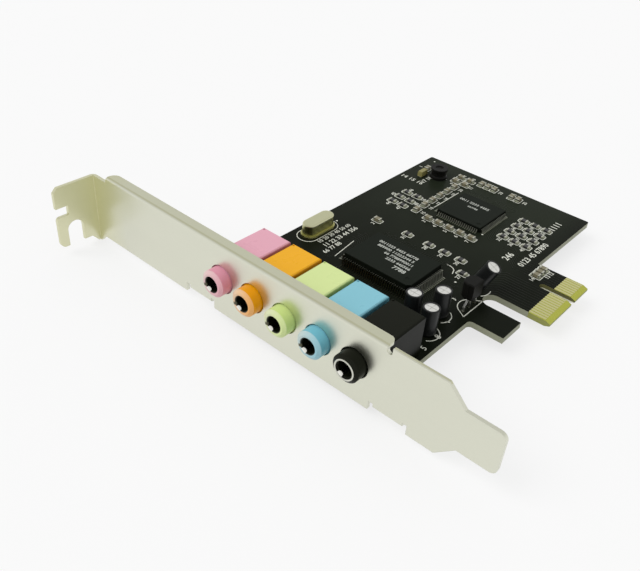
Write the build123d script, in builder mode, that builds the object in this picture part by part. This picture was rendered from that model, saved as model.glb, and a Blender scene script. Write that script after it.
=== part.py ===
from build123d import *
import os

os.makedirs("parts", exist_ok=True)

# Sound card with a PCI Express x1 edge, a full-height steel bracket and five 3.5 mm jacks.
# X runs along the bracket from the tab to the tail, Y from the bracket into the card, Z up from the board.
# The origin is at the middle of the card's box, at the level it rests on.

# Bracket sheet
sheet = 0.86
blade_length = 120.02
blade_width = 18.42
bend_inside = 0.45
tab_depth = 11.43
tab_top = 16.9
lug_drop = 2.0
lug_on_blade = 1.4
lug_on_tab = 0.5
lug_slope = 1.8
neck_length = 5.9
neck_slope = 0.4
flange_depth = 3.0
flange_end = 93.6
flange_near_corner = 2.0
flange_corner = 1.4
flange_relief_width = 1.2
flange_relief_depth = 1.1
tail_width = 10.2
tail_start = 107.2
tail_run = 4.3
tail_corner = 1.6

# Tab openings
screw_slot_width = 4.42
screw_slot_inset = 4.5
screw_slot_depth = 4.3
locator_width = 2.6
locator_depth = 3.3
locator_low = 8.7
finger_corner = 1.6
finger_top_corner = 0.9
tab_corner = 1.2

# Ears that carry the board
ear_rise = 1.0
ear_depth = 8.6
ear_width = 7.2
ear_relief = 1.2
ear_relief_height = 2.3
ear_corner = 1.2
first_ear = 40.6
second_ear = 95.8

# Board
board_thickness = 1.57
board_gap = 0.75
board_top_edge = 38.0
board_bottom_edge = 92.1
board_far = 99.8
board_corner = 0.6
foot_depth = 14.0
foot_reach = 100.4
tongue_gap = 4.95
tongue_width = 8.1
tongue_reach = 101.0
inner_corner = 1.1
connector_key = 61.2
connector_before_key = 12.15
connector_after_key = 8.15
connector_reach = 106.0
connector_corner = 1.3
key_width = 1.9
key_depth = 8.2
bevel_length = 1.3
bevel_height = 0.5
slot_depth_past_edge = 0.9

# Edge contacts
contact_pitch = 1.0
contact_width = 0.7
contact_length = 4.4
contact_thickness = 0.05
contact_from_key = 1.5
contact_margin = 0.1
contacts_long = 11
contacts_short = 7

# Jacks
jack_colours = ["pink", "orange", "green", "blue", "black"]
first_jack = 48.0
jack_pitch = 9.6
jack_axis_height = 9.6
housing_width = 8.8
housing_length = 16.9
housing_height = 10.55
housing_edge = 0.35
housing_step_depth = 0.5
housing_step_width = 3.6
housing_step_height = 7.4
housing_dimple_radius = 0.28
housing_dimple_depth = 0.25
housing_dimple_side = 0.75
housing_dimple_back = 0.7
barrel_radius = 3.3
barrel_reach = 3.1
barrel_nose = 0.75
barrel_nose_length = 0.6
barrel_hole_clearance = 0.3
bore_radius = 1.8
bore_length = 14.6
bore_mouth = 0.3
mouth_ring_radius = 2.5
mouth_ring_width = 0.4
mouth_ring_depth = 0.5
mouth_ring_proud = 0.15

# Jack terminals
terminal_thickness = 0.4
terminal_width = 1.1
terminal_slot_gap = 0.1
terminal_tail = 1.35
sleeve_leg = 3.4
sleeve_tongue = 4.6
ring_leg = 6.4
tip_leg = 12.0
switch_leg = 14.6
side_leg = 2.9
switch_side = 1.9
side_leg_height = 6.4
switch_leg_height = 2.2

# Through holes and solder
lead_radius = 0.25
lead_sides = 12
lead_hole_gap = 0.15
slot_hole_gap = 0.12
solder_radius = 0.85
solder_radius_small = 0.68
solder_radius_tiny = 0.56
solder_height = 0.7
solder_taper = 24
solder_sides = 8

# Large chip
big_length = 20.0
big_width = 14.0
big_height = 2.75
big_standoff = 0.35
big_x = 67.0
big_y = 39.6
big_pitch = 0.65
big_long_leads = 30
big_short_leads = 20
big_lead_width = 0.3
big_lead_reach = 1.75
big_lead_thickness = 0.16
big_chamfer = 1.2
pin_mark_radius = 0.6
pin_mark_depth = 0.1
pin_mark_inset = 1.5

# Small chip
small_side = 14.0
small_height = 1.4
small_standoff = 0.12
small_x = 66.4
small_y = 77.9
small_pitch = 0.65
small_leads = 20
small_lead_width = 0.28
small_lead_reach = 1.05
small_lead_thickness = 0.14

# Draft of moulded packages in degrees, shared by both chips
package_taper = 7

# Crystal
crystal_x = 42.6
crystal_y = 39.2
crystal_length = 10.5
crystal_width = 4.0
crystal_height = 3.1
crystal_brim = 0.4
crystal_brim_height = 0.4
crystal_round = 0.5
crystal_header_height = 0.35
crystal_lead_spacing = 4.88

# Electrolytic capacitors
cap_radius = 2.0
cap_height = 7.0
cap_sleeve = 0.12
cap_lip = 0.28
cap_bung = 1.2
cap_bung_gap = 0.3
cap_groove = 0.2
cap_groove_height = 1.5
cap_groove_width = 0.5
cap_score = 0.12
cap_lead_spacing = 1.5
cap_standoff = 0.25
first_cap = (81.9, 26.9)
second_cap = (86.0, 32.6)
third_cap = (87.7, 25.2)
leaning_cap = (86.4, 48.7)
lean_angle = 25.0
lean_standoff = 1.2

# Three-lead regulator
reg_x = 89.2
reg_y = 40.3
reg_width = 4.7
reg_depth = 3.7
reg_height = 4.2
reg_standoff = 3.4
reg_lead = 0.45
reg_body_pitch = 1.27
reg_foot_pitch = 2.54
reg_lead_straight = 0.6
reg_lead_spread_end = 1.3
reg_edge = 0.25

# Choke
choke_x = 47.3
choke_y = 89.5
choke_radius = 2.6
choke_height = 3.3
choke_waist = 0.35
choke_flange = 0.75
choke_dimple = 0.3
choke_lead_spacing = 2.5

# Chip parts
chip_length = 2.0
chip_width = 1.25
chip_cap_height = 0.85
chip_res_height = 0.5
chip_end = 0.4
chip_end_proud = 0.03
near_row_y = 66.6
near_row_pitch = 3.5
near_row_count = 5
side_row_x = 54.4
side_row_pitch = 3.9
side_row_count = 6
left_block_x = 46.6
left_block_y = 67.2
left_block_pitch = 3.6
left_block_columns = 2
left_block_rows = 3
right_block_x = 82.4
right_block_y = 80.0
right_block_pitch_x = 3.5
right_block_pitch_y = 3.9
right_block_columns = 3
right_block_rows = 4
far_row_x = 61.4
far_row_y = 95.4
far_row_pitch = 2.2
far_row_count = 3
far_pair_x = 70.6
corner_block_x = 52.6
corner_block_y = 94.4
corner_block_pitch = 3.2
middle_row_x = 72.3
middle_row_y = 55.6
middle_row_pitch = 4.9
middle_row_count = 3
before_row_x = 60.4
root_row_x = 94.4
root_row_past_key = 6.4
root_row_pitch = 1.9
root_row_count = 3
far_single_x = 80.8
far_single_y = 50.8
single_x = 50.4
single_y = 55.2
tantalum_x = 43.2
tantalum_y = 87.0
tantalum_length = 3.2
tantalum_width = 1.6
tantalum_height = 1.5
tantalum_tab = 0.75
tantalum_tab_width = 1.1
tantalum_tab_thickness = 0.15
ceramic_x = 42.0
ceramic_y = 91.4

# Ear screws
screw_radius = 1.5
screw_hole_gap = 0.2
screw_head_radius = 2.6
screw_head_height = 1.7
screw_head_slope = 0.65
screw_length = 2.6
screw_recess = 1.0
screw_recess_width = 0.7
screw_recess_length = 2.8
screw_inset = 5.2

# Derived positions
x_zero = -blade_length / 2
y_zero = (tab_depth - board_far) / 2
z_zero = lug_drop
board_under = ear_rise + sheet
board_top = board_under + board_thickness
board_front = sheet + board_gap
blade_middle = blade_width / 2
tail_low = (blade_width - tail_width) / 2
tail_high = blade_width - tail_low
hole_radius = barrel_radius + barrel_hole_clearance
connector_start = connector_key - connector_before_key
connector_end = connector_key + connector_after_key
tongue_end = connector_start - tongue_gap
tongue_start = tongue_end - tongue_width
slot_end_radius = tongue_gap / 2
housing_front = sheet
housing_bottom = board_top
housing_middle = housing_front + housing_length / 2
tongue_height = jack_axis_height - bore_radius - terminal_thickness
jack_xs = [first_jack + jack_pitch * number for number in range(len(jack_colours))]
jack_centre_x = first_jack + jack_pitch * (len(jack_colours) - 1) / 2

base = Plane(origin=(x_zero, y_zero, z_zero))
face = Plane(origin=(x_zero, y_zero, z_zero), x_dir=(1, 0, 0), z_dir=(0, -1, 0))
side = Plane(origin=(x_zero, y_zero, z_zero), x_dir=(0, 1, 0), z_dir=(1, 0, 0))
board_level = base.offset(board_top)
under_level = base.offset(board_under)


# Bracket: blade with tail, tab, flange and two ears, all one sheet
with BuildPart() as bracket:
    with BuildSketch(face):
        with BuildLine():
            Polyline(
                (0, -lug_drop),
                (lug_on_blade, -lug_drop),
                (lug_on_blade + lug_slope, 0),
                (tail_start, 0),
                (tail_start + tail_run, tail_low),
                (blade_length, tail_low),
                (blade_length, tail_high),
                (tail_start + tail_run, tail_high),
                (tail_start, blade_width),
                (neck_length + neck_slope, blade_width),
                (neck_length, tab_top),
                (0, tab_top),
                close=True,
            )
        make_face()
        with Locations((first_ear, 0), (second_ear, 0)):
            Rectangle(ear_width, 2 * ear_rise, mode=Mode.SUBTRACT)
    extrude(amount=-sheet)
    tail_edges = bracket.edges().filter_by(Axis.Y).group_by(Axis.X)[-1]
    fillet(tail_edges, tail_corner)

    # Tab with its chamfered corner, locator notch and screw slot, and its side of the bend's lug
    with BuildSketch(side):
        with BuildLine():
            Polyline(
                (sheet, -lug_drop),
                (-lug_on_tab, -lug_drop),
                (-lug_on_tab - lug_slope, 0),
                (-tab_depth, 0),
                (-tab_depth, tab_top - tab_corner),
                (-tab_depth + tab_corner, tab_top),
                (sheet, tab_top),
                close=True,
            )
        make_face()
        with Locations((-tab_depth + locator_depth / 2, locator_low + locator_width / 2)):
            Rectangle(locator_depth, locator_width, mode=Mode.SUBTRACT)
        slot_centre = -screw_slot_inset - screw_slot_width / 2
        with Locations((slot_centre, screw_slot_depth / 2)):
            Rectangle(screw_slot_width, screw_slot_depth, mode=Mode.SUBTRACT)
        with Locations((slot_centre, screw_slot_depth)):
            Circle(screw_slot_width / 2, mode=Mode.SUBTRACT)
    extrude(amount=sheet)
    finger_edges = bracket.edges().filter_by(Axis.X).group_by(Axis.Y)[0].sort_by(Axis.Z)
    fillet(finger_edges[0], finger_corner)
    finger_edges = bracket.edges().filter_by(Axis.X).group_by(Axis.Y)[0].sort_by(Axis.Z)
    fillet(finger_edges[1], finger_top_corner)

    # Flange folded back along the upper edge
    with BuildSketch(base.offset(blade_width)):
        with BuildLine():
            Polyline(
                (neck_length + neck_slope, 0),
                (flange_end, 0),
                (flange_end, flange_depth),
                (neck_length + neck_slope, flange_depth),
                close=True,
            )
        make_face()
    extrude(amount=-sheet)
    flange_edges = bracket.edges().filter_by(Axis.Z).group_by(Axis.Y)[-1].sort_by(Axis.X)
    fillet(flange_edges[0], flange_near_corner)
    flange_edges = bracket.edges().filter_by(Axis.Z).group_by(Axis.Y)[-1].sort_by(Axis.X)
    fillet(flange_edges[-1], flange_corner)

    # Ears folded back under the board
    with BuildSketch(base.offset(ear_rise)):
        with Locations((first_ear, ear_depth / 2), (second_ear, ear_depth / 2)):
            Rectangle(ear_width, ear_depth)
    extrude(amount=sheet)
    ear_edges = bracket.edges().filter_by(Axis.Z).group_by(Axis.Y)[-1]
    fillet(ear_edges, ear_corner)

    # Bend reliefs beside the ears and at the flange's end
    with BuildSketch(face):
        for centre in (first_ear, second_ear):
            for edge in (-1, 1):
                with Locations((centre + edge * (ear_width + ear_relief) / 2, ear_relief_height / 2)):
                    Rectangle(ear_relief, ear_relief_height)
        with Locations((flange_end + flange_relief_width / 2, blade_width - flange_relief_depth / 2)):
            Rectangle(flange_relief_width, flange_relief_depth)
        with Locations((flange_end + flange_relief_width / 2, blade_width - flange_relief_depth)):
            Circle(flange_relief_width / 2)
    extrude(amount=-(sheet + bend_inside), mode=Mode.SUBTRACT)

    # Round the outside of the folds
    fold_radius = bend_inside + sheet
    tab_fold = bracket.edges().filter_by(Axis.Z).filter_by_position(Axis.X, x_zero - 0.01, x_zero + 0.01)
    tab_fold = tab_fold.filter_by_position(Axis.Y, y_zero + sheet - 0.01, y_zero + sheet + 0.01)
    fillet(tab_fold, fold_radius)
    low = z_zero + ear_rise
    ear_fold = bracket.edges().filter_by(Axis.X).filter_by_position(Axis.Z, low - 0.01, low + 0.01)
    ear_fold = ear_fold.filter_by_position(Axis.Y, y_zero - 0.01, y_zero + 0.01)
    fillet(ear_fold, fold_radius * 0.6)
    high = z_zero + blade_width
    top_fold = bracket.edges().filter_by(Axis.X).filter_by_position(Axis.Z, high - 0.01, high + 0.01)
    top_fold = top_fold.filter_by_position(Axis.Y, y_zero - 0.01, y_zero + 0.01).sort_by(SortBy.LENGTH)[-1]
    fillet(top_fold, fold_radius * 0.6)

    # Jack holes and the tapped holes in the ears
    with BuildSketch(face):
        with Locations([(x, jack_axis_height) for x in jack_xs]):
            Circle(hole_radius)
    extrude(amount=-sheet, mode=Mode.SUBTRACT)
    with BuildSketch(base):
        with Locations((first_ear, screw_inset), (second_ear, screw_inset)):
            Circle(screw_radius)
    extrude(amount=board_under, mode=Mode.SUBTRACT)

bracket.part.label = "bracket"
export_step(bracket.part, "parts/bracket.step")


# Places of the through-hole parts, used by the board, the leads and the solder
sleeve_places = [(x, housing_front + sleeve_leg) for x in jack_xs]
ring_places = [(x + side_leg, housing_front + ring_leg) for x in jack_xs]
tip_places = [(x - side_leg, housing_front + tip_leg) for x in jack_xs]
switch_places = [(x + turn * switch_side, housing_front + switch_leg) for x in jack_xs for turn in (-1, 1)]
across_places = sleeve_places + switch_places
along_places = ring_places + tip_places
upright_caps = [first_cap, second_cap, third_cap]
all_caps = upright_caps + [leaning_cap]
cap_lead_places = [(x + turn * cap_lead_spacing / 2, y) for x, y in all_caps for turn in (-1, 1)]
crystal_lead_places = [(crystal_x, crystal_y + turn * crystal_lead_spacing / 2) for turn in (-1, 1)]
choke_lead_places = [(choke_x, choke_y + turn * choke_lead_spacing / 2) for turn in (-1, 1)]
reg_lead_places = [(reg_x, reg_y + turn * reg_foot_pitch) for turn in (-1, 0, 1)]
round_lead_places = cap_lead_places + crystal_lead_places + choke_lead_places


# Board: outline with foot, tongue, connector and key slot
with BuildPart() as board:
    with BuildSketch(under_level):
        with Locations((board_top_edge, board_front)):
            Rectangle(board_bottom_edge - board_top_edge, board_far - board_front, align=(Align.MIN, Align.MIN))
        with Locations((board_bottom_edge, board_front)):
            Rectangle(foot_reach - board_bottom_edge, foot_depth, align=(Align.MIN, Align.MIN))
        with Locations((board_bottom_edge, tongue_start)):
            Rectangle(tongue_reach - board_bottom_edge, tongue_width, align=(Align.MIN, Align.MIN))
        with Locations((board_bottom_edge, connector_start)):
            Rectangle(
                connector_reach - board_bottom_edge,
                connector_before_key + connector_after_key,
                align=(Align.MIN, Align.MIN),
            )
    extrude(amount=board_thickness)
    tip_face_edges = board.faces().sort_by(Axis.X)[-1].edges().filter_by(Axis.Y)
    chamfer(tip_face_edges, length=bevel_height, length2=bevel_length)
    with BuildSketch(under_level):
        with Locations((connector_reach - key_depth / 2, connector_key)):
            Rectangle(key_depth, key_width)
        with Locations((connector_reach - key_depth, connector_key)):
            Circle(key_width / 2)
        slot_middle = (tongue_end + connector_start) / 2
        with Locations((board_bottom_edge, slot_middle)):
            Circle(slot_end_radius)
    extrude(amount=board_thickness, mode=Mode.SUBTRACT)
    corner_edges = board.edges().filter_by(Axis.Z).group_by(Axis.Y)[-1]
    fillet(corner_edges, board_corner)
    tongue_corner = board.edges().filter_by(Axis.Z).filter_by_position(
        Axis.X, x_zero + board_bottom_edge - 0.01, x_zero + board_bottom_edge + 0.01
    )
    tongue_corner = tongue_corner.filter_by_position(
        Axis.Y, y_zero + tongue_start - 0.01, y_zero + tongue_start + 0.01
    )
    fillet(tongue_corner, inner_corner)

    # Holes for leads, terminals and screws
    with BuildSketch(under_level):
        with Locations(round_lead_places):
            Circle(lead_radius + lead_hole_gap)
        with Locations(reg_lead_places):
            Rectangle(reg_lead + 2 * slot_hole_gap, reg_lead + 2 * slot_hole_gap)
        with Locations(across_places):
            Rectangle(terminal_width + 2 * slot_hole_gap, terminal_thickness + 2 * slot_hole_gap)
        with Locations(along_places):
            Rectangle(terminal_thickness + 2 * slot_hole_gap, terminal_width + 2 * slot_hole_gap)
        with Locations((first_ear, screw_inset), (second_ear, screw_inset)):
            Circle(screw_radius + screw_hole_gap)
    extrude(amount=board_thickness, mode=Mode.SUBTRACT)

board.part.label = "pcb"
export_step(board.part, "parts/pcb.step")


# Edge contacts on both sides
contact_middle = connector_reach - bevel_length - contact_margin - contact_length / 2
long_places = [(contact_middle, connector_key - contact_from_key - contact_pitch * n) for n in range(contacts_long)]
short_places = [(contact_middle, connector_key + contact_from_key + contact_pitch * n) for n in range(contacts_short)]

with BuildPart() as contacts_upper:
    with BuildSketch(board_level):
        with Locations(long_places + short_places):
            Rectangle(contact_length, contact_width)
    extrude(amount=contact_thickness)

contacts_upper.part.label = "edge_contacts_upper"
export_step(contacts_upper.part, "parts/edge_contacts_upper.step")

with BuildPart() as contacts_lower:
    with BuildSketch(under_level):
        with Locations(long_places + short_places):
            Rectangle(contact_length, contact_width)
    extrude(amount=-contact_thickness)

contacts_lower.part.label = "edge_contacts_lower"
export_step(contacts_lower.part, "parts/edge_contacts_lower.step")


# Jacks: one moulded housing and five stamped terminals each
for colour, jack_x in zip(jack_colours, jack_xs):
    with BuildPart() as jack:
        with BuildSketch(base.offset(housing_bottom)):
            with Locations((jack_x, housing_middle)):
                Rectangle(housing_width, housing_length)
        extrude(amount=housing_height)
        top_edges = jack.faces().sort_by(Axis.Z)[-1].edges()
        back_top = top_edges.sort_by(Axis.Y)[-1]
        side_tops = top_edges.filter_by(Axis.Y)
        chamfer([back_top] + list(side_tops), housing_edge)
        # Barrel through the bracket
        with BuildSketch(face.offset(-housing_front)):
            with Locations((jack_x, jack_axis_height)):
                Circle(barrel_radius)
        extrude(amount=housing_front + barrel_reach)
        rim = jack.edges().filter_by(GeomType.CIRCLE).sort_by(Axis.Y)[0]
        barrel_wall = jack.faces().filter_by(GeomType.CYLINDER)[0]
        chamfer(rim, barrel_nose_length, barrel_nose, reference=barrel_wall)
        # Ejector mark on the top, near the back corner
        with BuildSketch(base.offset(housing_bottom + housing_height)):
            mark_x = jack_x - housing_width / 2 + housing_dimple_side
            with Locations((mark_x, housing_front + housing_length - housing_dimple_back)):
                Circle(housing_dimple_radius)
        extrude(amount=-housing_dimple_depth, mode=Mode.SUBTRACT)
        # Recess in the back wall
        back_plane = face.offset(-(housing_front + housing_length))
        with BuildSketch(back_plane):
            with Locations((jack_x, housing_bottom + housing_step_height / 2)):
                Rectangle(housing_step_width, housing_step_height)
        extrude(amount=housing_step_depth, mode=Mode.SUBTRACT)
        # Bore for the plug, with its mouth eased
        with BuildSketch(face.offset(barrel_reach)):
            with Locations((jack_x, jack_axis_height)):
                Circle(bore_radius)
        extrude(amount=-bore_length, mode=Mode.SUBTRACT)
        mouth = jack.edges().filter_by(GeomType.CIRCLE).group_by(Axis.Y)[0].sort_by(SortBy.RADIUS)[0]
        chamfer(mouth, bore_mouth)
        if colour == "black":
            with BuildSketch(face.offset(barrel_reach)):
                with Locations((jack_x, jack_axis_height)):
                    Circle(mouth_ring_radius)
            extrude(amount=-mouth_ring_depth, mode=Mode.SUBTRACT)
        # Slots for the terminals
        with BuildSketch(base.offset(housing_bottom)):
            with Locations((jack_x, housing_front + sleeve_leg)):
                Rectangle(terminal_width + 2 * terminal_slot_gap, terminal_thickness + 2 * terminal_slot_gap)
        extrude(amount=tongue_height - housing_bottom + terminal_thickness, mode=Mode.SUBTRACT)
        with BuildSketch(base.offset(tongue_height - terminal_slot_gap)):
            with Locations((jack_x, housing_front + sleeve_leg + terminal_thickness / 2 - sleeve_tongue / 2)):
                Rectangle(terminal_width + 2 * terminal_slot_gap, sleeve_tongue + 2 * terminal_slot_gap)
        extrude(amount=terminal_thickness + 3 * terminal_slot_gap, mode=Mode.SUBTRACT)
        with BuildSketch(base.offset(housing_bottom)):
            with Locations((jack_x + side_leg, housing_front + ring_leg), (jack_x - side_leg, housing_front + tip_leg)):
                Rectangle(terminal_thickness + 2 * terminal_slot_gap, terminal_width + 2 * terminal_slot_gap)
        extrude(amount=side_leg_height + terminal_slot_gap, mode=Mode.SUBTRACT)
        with BuildSketch(base.offset(housing_bottom)):
            with Locations(
                (jack_x - switch_side, housing_front + switch_leg),
                (jack_x + switch_side, housing_front + switch_leg),
            ):
                Rectangle(terminal_width + 2 * terminal_slot_gap, terminal_thickness + 2 * terminal_slot_gap)
        extrude(amount=switch_leg_height + terminal_slot_gap, mode=Mode.SUBTRACT)

    jack.part.label = colour + "_jack"
    export_step(jack.part, "parts/" + colour + "_jack.step")

    with BuildPart() as terminals:
        # Sleeve terminal: a leg and a tongue that lies below the bore
        with BuildSketch(base.offset(board_under - terminal_tail)):
            with Locations((jack_x, housing_front + sleeve_leg)):
                Rectangle(terminal_width, terminal_thickness)
        extrude(amount=tongue_height + terminal_thickness - board_under + terminal_tail)
        with BuildSketch(base.offset(tongue_height)):
            with Locations((jack_x, housing_front + sleeve_leg + terminal_thickness / 2 - sleeve_tongue / 2)):
                Rectangle(terminal_width, sleeve_tongue)
        extrude(amount=terminal_thickness)
        # Ring, tip and switch terminals
        with BuildSketch(base.offset(board_under - terminal_tail)):
            with Locations((jack_x + side_leg, housing_front + ring_leg), (jack_x - side_leg, housing_front + tip_leg)):
                Rectangle(terminal_thickness, terminal_width)
        extrude(amount=board_thickness + terminal_tail + side_leg_height)
        with BuildSketch(base.offset(board_under - terminal_tail)):
            with Locations(
                (jack_x - switch_side, housing_front + switch_leg),
                (jack_x + switch_side, housing_front + switch_leg),
            ):
                Rectangle(terminal_width, terminal_thickness)
        extrude(amount=board_thickness + terminal_tail + switch_leg_height)

    terminals.part.label = colour + "_jack_terminals"
    export_step(terminals.part, "parts/" + colour + "_jack_terminals.step")


# Bright ring in the mouth of the black jack
with BuildPart() as mouth_ring:
    with BuildSketch(face.offset(barrel_reach + mouth_ring_proud)):
        with Locations((jack_xs[-1], jack_axis_height)):
            Circle(mouth_ring_radius)
            Circle(mouth_ring_radius - mouth_ring_width, mode=Mode.SUBTRACT)
    extrude(amount=-(mouth_ring_depth + mouth_ring_proud))
    ring_front = mouth_ring.faces().sort_by(Axis.Y)[0].edges()
    chamfer(ring_front, mouth_ring_proud * 0.8)

mouth_ring.part.label = "black_jack_mouth_ring"
export_step(mouth_ring.part, "parts/black_jack_mouth_ring.step")


# Screws through the board into the ears
with BuildPart() as screws:
    with BuildSketch(board_level):
        with Locations((first_ear, screw_inset), (second_ear, screw_inset)):
            Circle(screw_head_radius)
    extrude(amount=screw_head_height)
    head_edges = screws.edges().filter_by(GeomType.CIRCLE).group_by(Axis.Z)[-1]
    chamfer(head_edges, screw_head_slope)
    with BuildSketch(board_level):
        with Locations((first_ear, screw_inset), (second_ear, screw_inset)):
            Circle(screw_radius)
    extrude(amount=-screw_length)
    with BuildSketch(board_level.offset(screw_head_height)):
        with Locations((first_ear, screw_inset), (second_ear, screw_inset)):
            Rectangle(screw_recess_length, screw_recess_width)
            Rectangle(screw_recess_width, screw_recess_length)
    extrude(amount=-screw_recess, mode=Mode.SUBTRACT)

screws.part.label = "ear_screws"
export_step(screws.part, "parts/ear_screws.step")


# Large chip: moulded body with a chamfered pin-one corner, and gull-wing leads
with BuildPart() as big_chip:
    big_seam = board_top + big_standoff + big_height / 2
    with BuildSketch(base.offset(big_seam)):
        with Locations((big_x, big_y)):
            Rectangle(big_length, big_width)
    extrude(amount=big_height / 2, taper=package_taper)
    extrude(big_chip.faces().sort_by(Axis.Z)[0], amount=big_height / 2, taper=package_taper)
    with BuildSketch(base.offset(board_top + big_standoff)):
        with Locations((big_x + big_length / 2, big_y - big_width / 2)):
            RegularPolygon(big_chamfer, 4, rotation=0)
    extrude(amount=big_height, mode=Mode.SUBTRACT)
    with BuildSketch(base.offset(board_top + big_standoff + big_height)):
        with Locations((big_x + big_length / 2 - pin_mark_inset * 1.6, big_y - big_width / 2 + pin_mark_inset * 1.6)):
            Circle(pin_mark_radius)
    extrude(amount=-pin_mark_depth, mode=Mode.SUBTRACT)

big_chip.part.label = "large_chip_body"
export_step(big_chip.part, "parts/large_chip_body.step")

# One gull-wing lead of each chip, drawn at the origin and then placed round the body
with BuildPart() as big_lead:
    big_lead_top = big_standoff + big_height / 2 + big_lead_thickness / 2
    with BuildSketch(Plane.XZ.offset(-big_lead_width / 2)):
        with BuildLine():
            Polyline(
                (0, big_lead_top - big_lead_thickness),
                (0, big_lead_top),
                (big_lead_reach * 0.42, big_lead_top),
                (big_lead_reach * 0.64, big_lead_thickness),
                (big_lead_reach, big_lead_thickness),
                (big_lead_reach, 0),
                (big_lead_reach * 0.54, 0),
                (big_lead_reach * 0.32, big_lead_top - big_lead_thickness),
                close=True,
            )
        make_face()
    extrude(amount=big_lead_width)

with BuildPart() as small_lead:
    small_lead_top = small_standoff + small_height / 2 + small_lead_thickness / 2
    with BuildSketch(Plane.XZ.offset(-small_lead_width / 2)):
        with BuildLine():
            Polyline(
                (0, small_lead_top - small_lead_thickness),
                (0, small_lead_top),
                (small_lead_reach * 0.3, small_lead_top),
                (small_lead_reach * 0.48, small_lead_thickness),
                (small_lead_reach, small_lead_thickness),
                (small_lead_reach, 0),
                (small_lead_reach * 0.4, 0),
                (small_lead_reach * 0.22, small_lead_top - small_lead_thickness),
                close=True,
            )
        make_face()
    extrude(amount=small_lead_width)

big_seat = Location((x_zero + big_x, y_zero + big_y, z_zero + board_top))
long_steps = [big_pitch * (n - (big_long_leads - 1) / 2) for n in range(big_long_leads)]
short_steps = [big_pitch * (n - (big_short_leads - 1) / 2) for n in range(big_short_leads)]
big_places = [Location((step, big_width / 2, 0), (0, 0, 90)) for step in long_steps]
big_places += [Location((step, -big_width / 2, 0), (0, 0, -90)) for step in long_steps]
big_places += [Location((big_length / 2, step, 0), (0, 0, 0)) for step in short_steps]
big_places += [Location((-big_length / 2, step, 0), (0, 0, 180)) for step in short_steps]

with BuildPart() as big_leads:
    with Locations([big_seat * place for place in big_places]):
        add(big_lead.part)

big_leads.part.label = "large_chip_leads"
export_step(big_leads.part, "parts/large_chip_leads.step")


# Small chip: thinner moulded body and its leads
with BuildPart() as small_chip:
    small_seam = board_top + small_standoff + small_height / 2
    with BuildSketch(base.offset(small_seam)):
        with Locations((small_x, small_y)):
            Rectangle(small_side, small_side)
    extrude(amount=small_height / 2, taper=package_taper)
    extrude(small_chip.faces().sort_by(Axis.Z)[0], amount=small_height / 2, taper=package_taper)
    with BuildSketch(base.offset(board_top + small_standoff + small_height)):
        with Locations((small_x + small_side / 2 - pin_mark_inset, small_y - small_side / 2 + pin_mark_inset)):
            Circle(pin_mark_radius)
    extrude(amount=-pin_mark_depth, mode=Mode.SUBTRACT)

small_chip.part.label = "small_chip_body"
export_step(small_chip.part, "parts/small_chip_body.step")

small_seat = Location((x_zero + small_x, y_zero + small_y, z_zero + board_top))
small_steps = [small_pitch * (n - (small_leads - 1) / 2) for n in range(small_leads)]
small_places = [
    Location((0, 0, 0), (0, 0, turn)) * Location((small_side / 2, step, 0))
    for turn in (0, 90, 180, 270)
    for step in small_steps
]

with BuildPart() as small_chip_leads:
    with Locations([small_seat * place for place in small_places]):
        add(small_lead.part)

small_chip_leads.part.label = "small_chip_leads"
export_step(small_chip_leads.part, "parts/small_chip_leads.step")


# Crystal: header plate, drawn can with a brim, two leads
with BuildPart() as crystal_header:
    with BuildSketch(board_level):
        with Locations((crystal_x, crystal_y)):
            SlotOverall(crystal_length + 2 * crystal_brim, crystal_width + 2 * crystal_brim, rotation=90)
    extrude(amount=crystal_header_height)

crystal_header.part.label = "crystal_header"
export_step(crystal_header.part, "parts/crystal_header.step")

with BuildPart() as crystal_can:
    with BuildSketch(board_level.offset(crystal_header_height)):
        with Locations((crystal_x, crystal_y)):
            SlotOverall(crystal_length + 2 * crystal_brim, crystal_width + 2 * crystal_brim, rotation=90)
    extrude(amount=crystal_brim_height)
    with BuildSketch(board_level.offset(crystal_header_height + crystal_brim_height)):
        with Locations((crystal_x, crystal_y)):
            SlotOverall(crystal_length, crystal_width, rotation=90)
    extrude(amount=crystal_height)
    fillet(crystal_can.faces().sort_by(Axis.Z)[-1].edges(), crystal_round)

crystal_can.part.label = "crystal_can"
export_step(crystal_can.part, "parts/crystal_can.step")

with BuildPart() as crystal_leads:
    with BuildSketch(board_level):
        with Locations(crystal_lead_places):
            RegularPolygon(lead_radius, lead_sides)
    extrude(amount=-(board_thickness + terminal_tail))

crystal_leads.part.label = "crystal_leads"
export_step(crystal_leads.part, "parts/crystal_leads.step")


# Electrolytic capacitors: can, sleeve and bung, the last one leaning on its leads
cap_names = ["capacitor_one", "capacitor_two", "capacitor_three", "leaning_capacitor"]
cap_seats = [Location((x_zero + x, y_zero + y, z_zero + board_top + cap_standoff)) for x, y in upright_caps]
lean_foot = Location((x_zero + leaning_cap[0], y_zero + leaning_cap[1], z_zero + board_top + lean_standoff))
cap_seats.append(lean_foot * Location((0, 0, 0), (0, lean_angle, 0)))

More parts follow.
